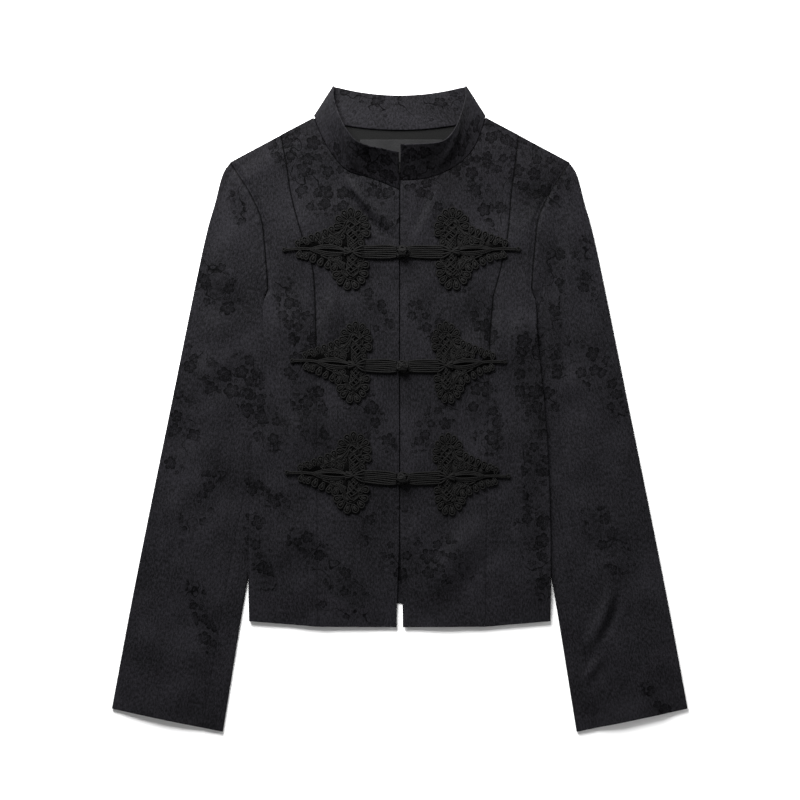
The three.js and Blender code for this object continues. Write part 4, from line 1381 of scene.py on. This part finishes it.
def blossom_layer_group():
    """Five-petal blossoms, one in each cell where the spray is thick enough."""
    tree, given, out = new_group(
        "blossom_layer",
        [("Cloth", "NodeSocketVector"), ("Spray", "NodeSocketFloat"), ("Cell", "NodeSocketFloat"),
         ("Radius", "NodeSocketFloat"), ("Thickness", "NodeSocketFloat")],
        [("Mask", "NodeSocketFloat")],
    )
    net = Net(tree)
    inverse = net.math("DIVIDE", 1.0, given["Cell"])
    scaled = net.vector("SCALE", given["Cloth"], scale=inverse)
    cells = tree.nodes.new("ShaderNodeTexVoronoi")
    cells.voronoi_dimensions = "2D"
    cells.feature = "F1"
    cells.inputs["Scale"].default_value = 1.0
    cells.inputs["Randomness"].default_value = 0.8
    net.feed(cells.inputs["Vector"], scaled)
    local = net.vector("SUBTRACT", scaled, cells.outputs["Position"])
    chance = net.separate(cells.outputs["Color"])
    size = net.math("MULTIPLY", given["Radius"], net.math("MULTIPLY_ADD", chance[2], 0.4, 0.75))
    from_middle = net.vector("LENGTH", local, output="Value")
    distance = net.math("DIVIDE", net.math("MULTIPLY", from_middle, given["Cell"]), size)
    x, y, _ = net.separate(local)
    angle = net.math("ADD", net.math("ARCTAN2", y, x), net.math("MULTIPLY", chance[0], FULL_TURN))
    lobe = net.math("ABSOLUTE", net.math("COSINE", net.math("MULTIPLY", angle, 2.5)))
    outline = net.math("MULTIPLY_ADD", net.math("POWER", lobe, 0.5), 0.52, 0.48)
    inside = net.band(net.math("SUBTRACT", outline, distance), -0.05, 0.06)
    ring = net.band(net.math("ABSOLUTE", net.math("SUBTRACT", distance, 0.3)), 0.03, 0.1)
    rim = net.math("MULTIPLY_ADD", net.band(net.math("SUBTRACT", outline, distance), 0.1, 0.3), -0.4, 1.0)
    eye = net.band(distance, 0.08, 0.14)
    notch = net.math("MAXIMUM", net.band(lobe, 0.05, 0.22), net.band(distance, 0.45, 0.3))
    veins = net.math("MULTIPLY_ADD", net.math("MULTIPLY", ring, eye), 0.75, 0.25)
    petal = net.math("MULTIPLY", net.math("MULTIPLY", inside, notch), veins)
    thick = net.math("MULTIPLY", given["Spray"], given["Thickness"])
    chosen = net.band(net.math("SUBTRACT", thick, chance[1]), -0.05, 0.06)
    net.feed(out["Mask"], net.math("MULTIPLY", net.math("MULTIPLY", petal, rim), chosen))
    return tree


def crepe_group():
    """Fine crinkles that run down the cloth, and the slow clouding of satin."""
    tree, given, out = new_group(
        "crepe_crinkle",
        [("Cloth", "NodeSocketVector")],
        [("Crinkle", "NodeSocketFloat"), ("Cloud", "NodeSocketFloat"), ("Thread", "NodeSocketFloat")],
    )
    net = Net(tree)
    streaks = net.vector("MULTIPLY", given["Cloth"], (1.0, 0.42, 1.0))
    fine = net.noise(streaks, 640.0, 3.0, 0.7)
    broad = net.noise(net.vector("MULTIPLY", given["Cloth"], (1.0, 0.14, 1.0)), 230.0, 2.0, 0.5)
    blend = net.math("MULTIPLY_ADD", fine, 0.88, net.math("MULTIPLY", broad, 0.12))
    net.feed(out["Crinkle"], net.band(blend, 0.28, 0.72))
    net.feed(out["Cloud"], net.noise(given["Cloth"], 15.0, 3.0, 0.55))
    threads = net.vector("MULTIPLY", given["Cloth"], (1.0, 0.35, 1.0))
    net.feed(out["Thread"], net.noise(threads, 2300.0, 1.0, 0.5))
    return tree


def place_group(net, tree, **values):
    """A group placed in a material with its own values."""
    node = net.tree.nodes.new("ShaderNodeGroup")
    node.node_tree = tree
    for label, value in values.items():
        net.feed(node.inputs[label], value)
    return node.outputs


def cloth_coordinates(net):
    node = net.tree.nodes.new("ShaderNodeUVMap")
    node.uv_map = "cloth"
    return node.outputs[0]


def jacquard_material(blossoms, crepe):
    """Crepe satin with duller, darker sprays of blossom woven in, and a painted shade line along the seams.
    """
    material, shader, net = new_material("charcoal_jacquard")
    cloth = cloth_coordinates(net)
    # The seam layer holds the painted shade line along the armhole and princess seams.
    spray, seam = net.attribute("spray"), net.attribute("seam")
    thick = net.math("MULTIPLY", spray, net.band(net.noise(cloth, 26.0, 2.0), 0.3, 0.5, 0.35, 1.0))
    layers = []
    for shift, cell, radius, thickness in BLOSSOM_LAYERS:
        moved = net.vector("ADD", cloth, shift) if shift else cloth
        values = dict(Cloth=moved, Spray=thick, Cell=cell, Radius=radius, Thickness=thickness)
        layers.append(place_group(net, blossoms, **values)["Mask"])
    large, small, buds = layers
    branch = net.math("ABSOLUTE", net.math("SUBTRACT", net.noise(cloth, 17.0, 2.5), 0.5))
    twig = net.math("MULTIPLY", net.band(branch, 0.0045, 0.002), net.band(spray, 0.2, 0.5))
    crinkle, cloud, thread = place_group(net, crepe, Cloth=cloth)
    shape = net.math("MAXIMUM", net.math("MAXIMUM", large, small), net.math("MAXIMUM", buds, twig))
    motif = net.math("MULTIPLY", shape, net.math("MULTIPLY_ADD", crinkle, -0.25, 1.0))
    tone = net.math("MULTIPLY_ADD", crinkle, 0.75, net.math("MULTIPLY_ADD", cloud, 0.8, -0.3))
    ground = net.mix_color(net.band(tone, 0.0, 1.0), GROUND_DARK, GROUND_LIGHT)
    ground = net.mix_color(net.math("MULTIPLY", net.band(spray, 0.1, 0.9), 0.22), ground, GROUND_DARK)
    colour = net.mix_color(motif, ground, MOTIF_COLOUR)
    # Painted shade: the cloth darkens along the seams.
    colour = net.mix_color(net.math("MULTIPLY", seam, 0.85), colour, SEAM_SHADE_COLOUR)
    net.feed(shader.inputs["Base Color"], colour)
    gloss = net.math("MULTIPLY_ADD", crinkle, 0.16, 0.36)
    net.feed(shader.inputs["Roughness"], net.math("MULTIPLY_ADD", motif, 0.3, gloss))
    plain = net.math("SUBTRACT", 1.0, net.math("MAXIMUM", motif, seam))
    net.feed(shader.inputs["Coat Weight"], net.math("MULTIPLY", plain, 0.07))
    settle(shader, {
        "Coat Roughness": 0.55,
        "Coat IOR": 1.38,
        "Specular IOR Level": 0.02,
        "Sheen Weight": 0.004,
        "Sheen Roughness": 0.35,
    })
    fine = net.math("MULTIPLY_ADD", thread, 0.25, net.math("MULTIPLY", motif, 0.5))
    net.raise_surface(shader, net.math("MULTIPLY_ADD", crinkle, 1.0, fine), 0.6, 0.00045)
    return material


def twill_material(name, dark, light, pitch, roughness):
    """A plain fine twill, for the facing and the label."""
    material, shader, net = new_material(name)
    cloth = cloth_coordinates(net)
    x, y, _ = net.separate(cloth)
    slant = net.math("ADD", x, net.math("MULTIPLY", y, 1.4))
    line = net.math("SINE", net.math("MULTIPLY", slant, FULL_TURN / pitch))
    cloud = net.noise(cloth, 60.0, 3.0)
    amount = net.math("MULTIPLY_ADD", line, 0.18, net.math("MULTIPLY_ADD", cloud, 0.9, 0.05))
    net.feed(shader.inputs["Base Color"], net.mix_color(amount, dark, light))
    net.feed(shader.inputs["Roughness"], net.math("MULTIPLY_ADD", cloud, 0.15, roughness))
    settle(shader, {"Specular IOR Level": 0.12, "Sheen Weight": 0.01})
    net.raise_surface(shader, line, 0.4, 0.0002)
    return material


def cord_material():
    """Twisted matt cord: slanting strands along each tube."""
    material, shader, net = new_material("matt_black_cord")
    cloth = cloth_coordinates(net)
    run, round_cord, _ = net.separate(cloth)
    slant = net.math("MULTIPLY_ADD", run, 4200.0, net.math("MULTIPLY", round_cord, 2000.0))
    strand = net.math("SINE", slant)
    fuzz = net.noise(cloth, 900.0, 2.0)
    amount = net.math("MULTIPLY_ADD", strand, 0.28, net.math("MULTIPLY_ADD", fuzz, 0.5, 0.2))
    net.feed(shader.inputs["Base Color"], net.mix_color(amount, CORD_DARK, CORD_LIGHT))
    net.feed(shader.inputs["Roughness"], net.math("MULTIPLY_ADD", fuzz, 0.2, 0.55))
    settle(shader, {"Specular IOR Level": 0.08, "Sheen Weight": 0.012, "Sheen Roughness": 0.4})
    net.raise_surface(shader, strand, 0.5, 0.0003)
    return material


def floor_material():
    material, shader, net = new_material("pale_floor")
    place = net.tree.nodes.new("ShaderNodeTexCoord").outputs["Object"]
    grain = net.noise(place, 40.0, 2.0)
    net.feed(shader.inputs["Base Color"], net.mix_color(grain, FLOOR_DARK, FLOOR_LIGHT))
    settle(shader, {"Roughness": 0.9, "Specular IOR Level": 0.0})
    return material


# ---------- Floor, light and camera ----------
def make_floor():
    bpy.ops.object.select_all(action="DESELECT")
    bpy.ops.mesh.primitive_plane_add(size=14, location=(0, 0, -0.0004))
    floor = bpy.context.object
    floor.name = "floor"
    bpy.ops.object.transform_apply(location=True, rotation=False, scale=False)
    floor.data.materials.append(floor_material())


def area_light(name, place, aim, size, power):
    light = bpy.data.lights.new(name, "AREA")
    light.shape = "DISK"
    light.size = size
    light.energy = power
    light.specular_factor = 0.6
    obj = bpy.data.objects.new(name, light)
    bpy.context.scene.collection.objects.link(obj)
    obj.location = place
    obj.rotation_euler = (Vector(aim) - Vector(place)).to_track_quat("-Z", "Y").to_euler()
    obj.visible_camera = False


def light_up_world(tree):
    """A pale backdrop to look at, and a dimmer one to light the cloth."""
    dim = tree.nodes["Background"]
    dim.inputs["Color"].default_value = (1, 1, 1, 1)
    dim.inputs["Strength"].default_value = 0.12
    pale = tree.nodes.new("ShaderNodeBackground")
    pale.inputs["Color"].default_value = (0.93, 0.93, 0.93, 1)
    either = tree.nodes.new("ShaderNodeMixShader")
    seen = tree.nodes.new("ShaderNodeLightPath").outputs["Is Camera Ray"]
    tree.links.new(seen, either.inputs[0])
    tree.links.new(dim.outputs[0], either.inputs[1])
    tree.links.new(pale.outputs[0], either.inputs[2])
    tree.links.new(either.outputs[0], tree.nodes["World Output"].inputs[0])


def light_and_camera():
    world = bpy.data.worlds.new("studio")
    world.use_nodes = True
    light_up_world(world.node_tree)
    bpy.context.scene.world = world
    area_light("window", (-0.55, 1.38, 0.88), (0, 0.1, 0), 1.3, 122)
    area_light("side_window", (1.7, 0.5, 0.6), (0, 0.05, 0), 1.0, 13)
    area_light("floor_fill", (0.5, -1.6, 1.6), (0.2, -0.9, 0), 1.0, 9)
    camera = bpy.data.cameras.new("above")
    camera.lens = 90
    camera.sensor_width = 36
    obj = bpy.data.objects.new("above", camera)
    bpy.context.scene.collection.objects.link(obj)
    obj.location = (0.0003, 0.0096, 2.2)
    bpy.context.scene.camera = obj
    bpy.context.scene.view_settings.view_transform = "Standard"


# ---------- Put together ----------
def main():
    light_and_camera()
    make_floor()
    jacquard = jacquard_material(blossom_layer_group(), crepe_group())
    facing = twill_material("facing_twill", **FACING_TWILL)
    label = twill_material("label_satin", **LABEL_SATIN)
    cord = cord_material()
    back_panel(jacquard)
    for side in SIGN:
        front_centre(side, jacquard)
        front_side(side, jacquard)
        for part in ("upper", "under"):
            sleeve_piece(part, side, jacquard)
    collar(jacquard)
    neck_trims(facing, label)
    flat_frog = frog_tubes()
    core_model = knot_core()
    for height in FROGS:
        for side in SIGN:
            lay_frog(flat_frog, height, side, cord)
        make_knot(height, core_model, cord)
    bpy.data.objects.remove(core_model)


main()
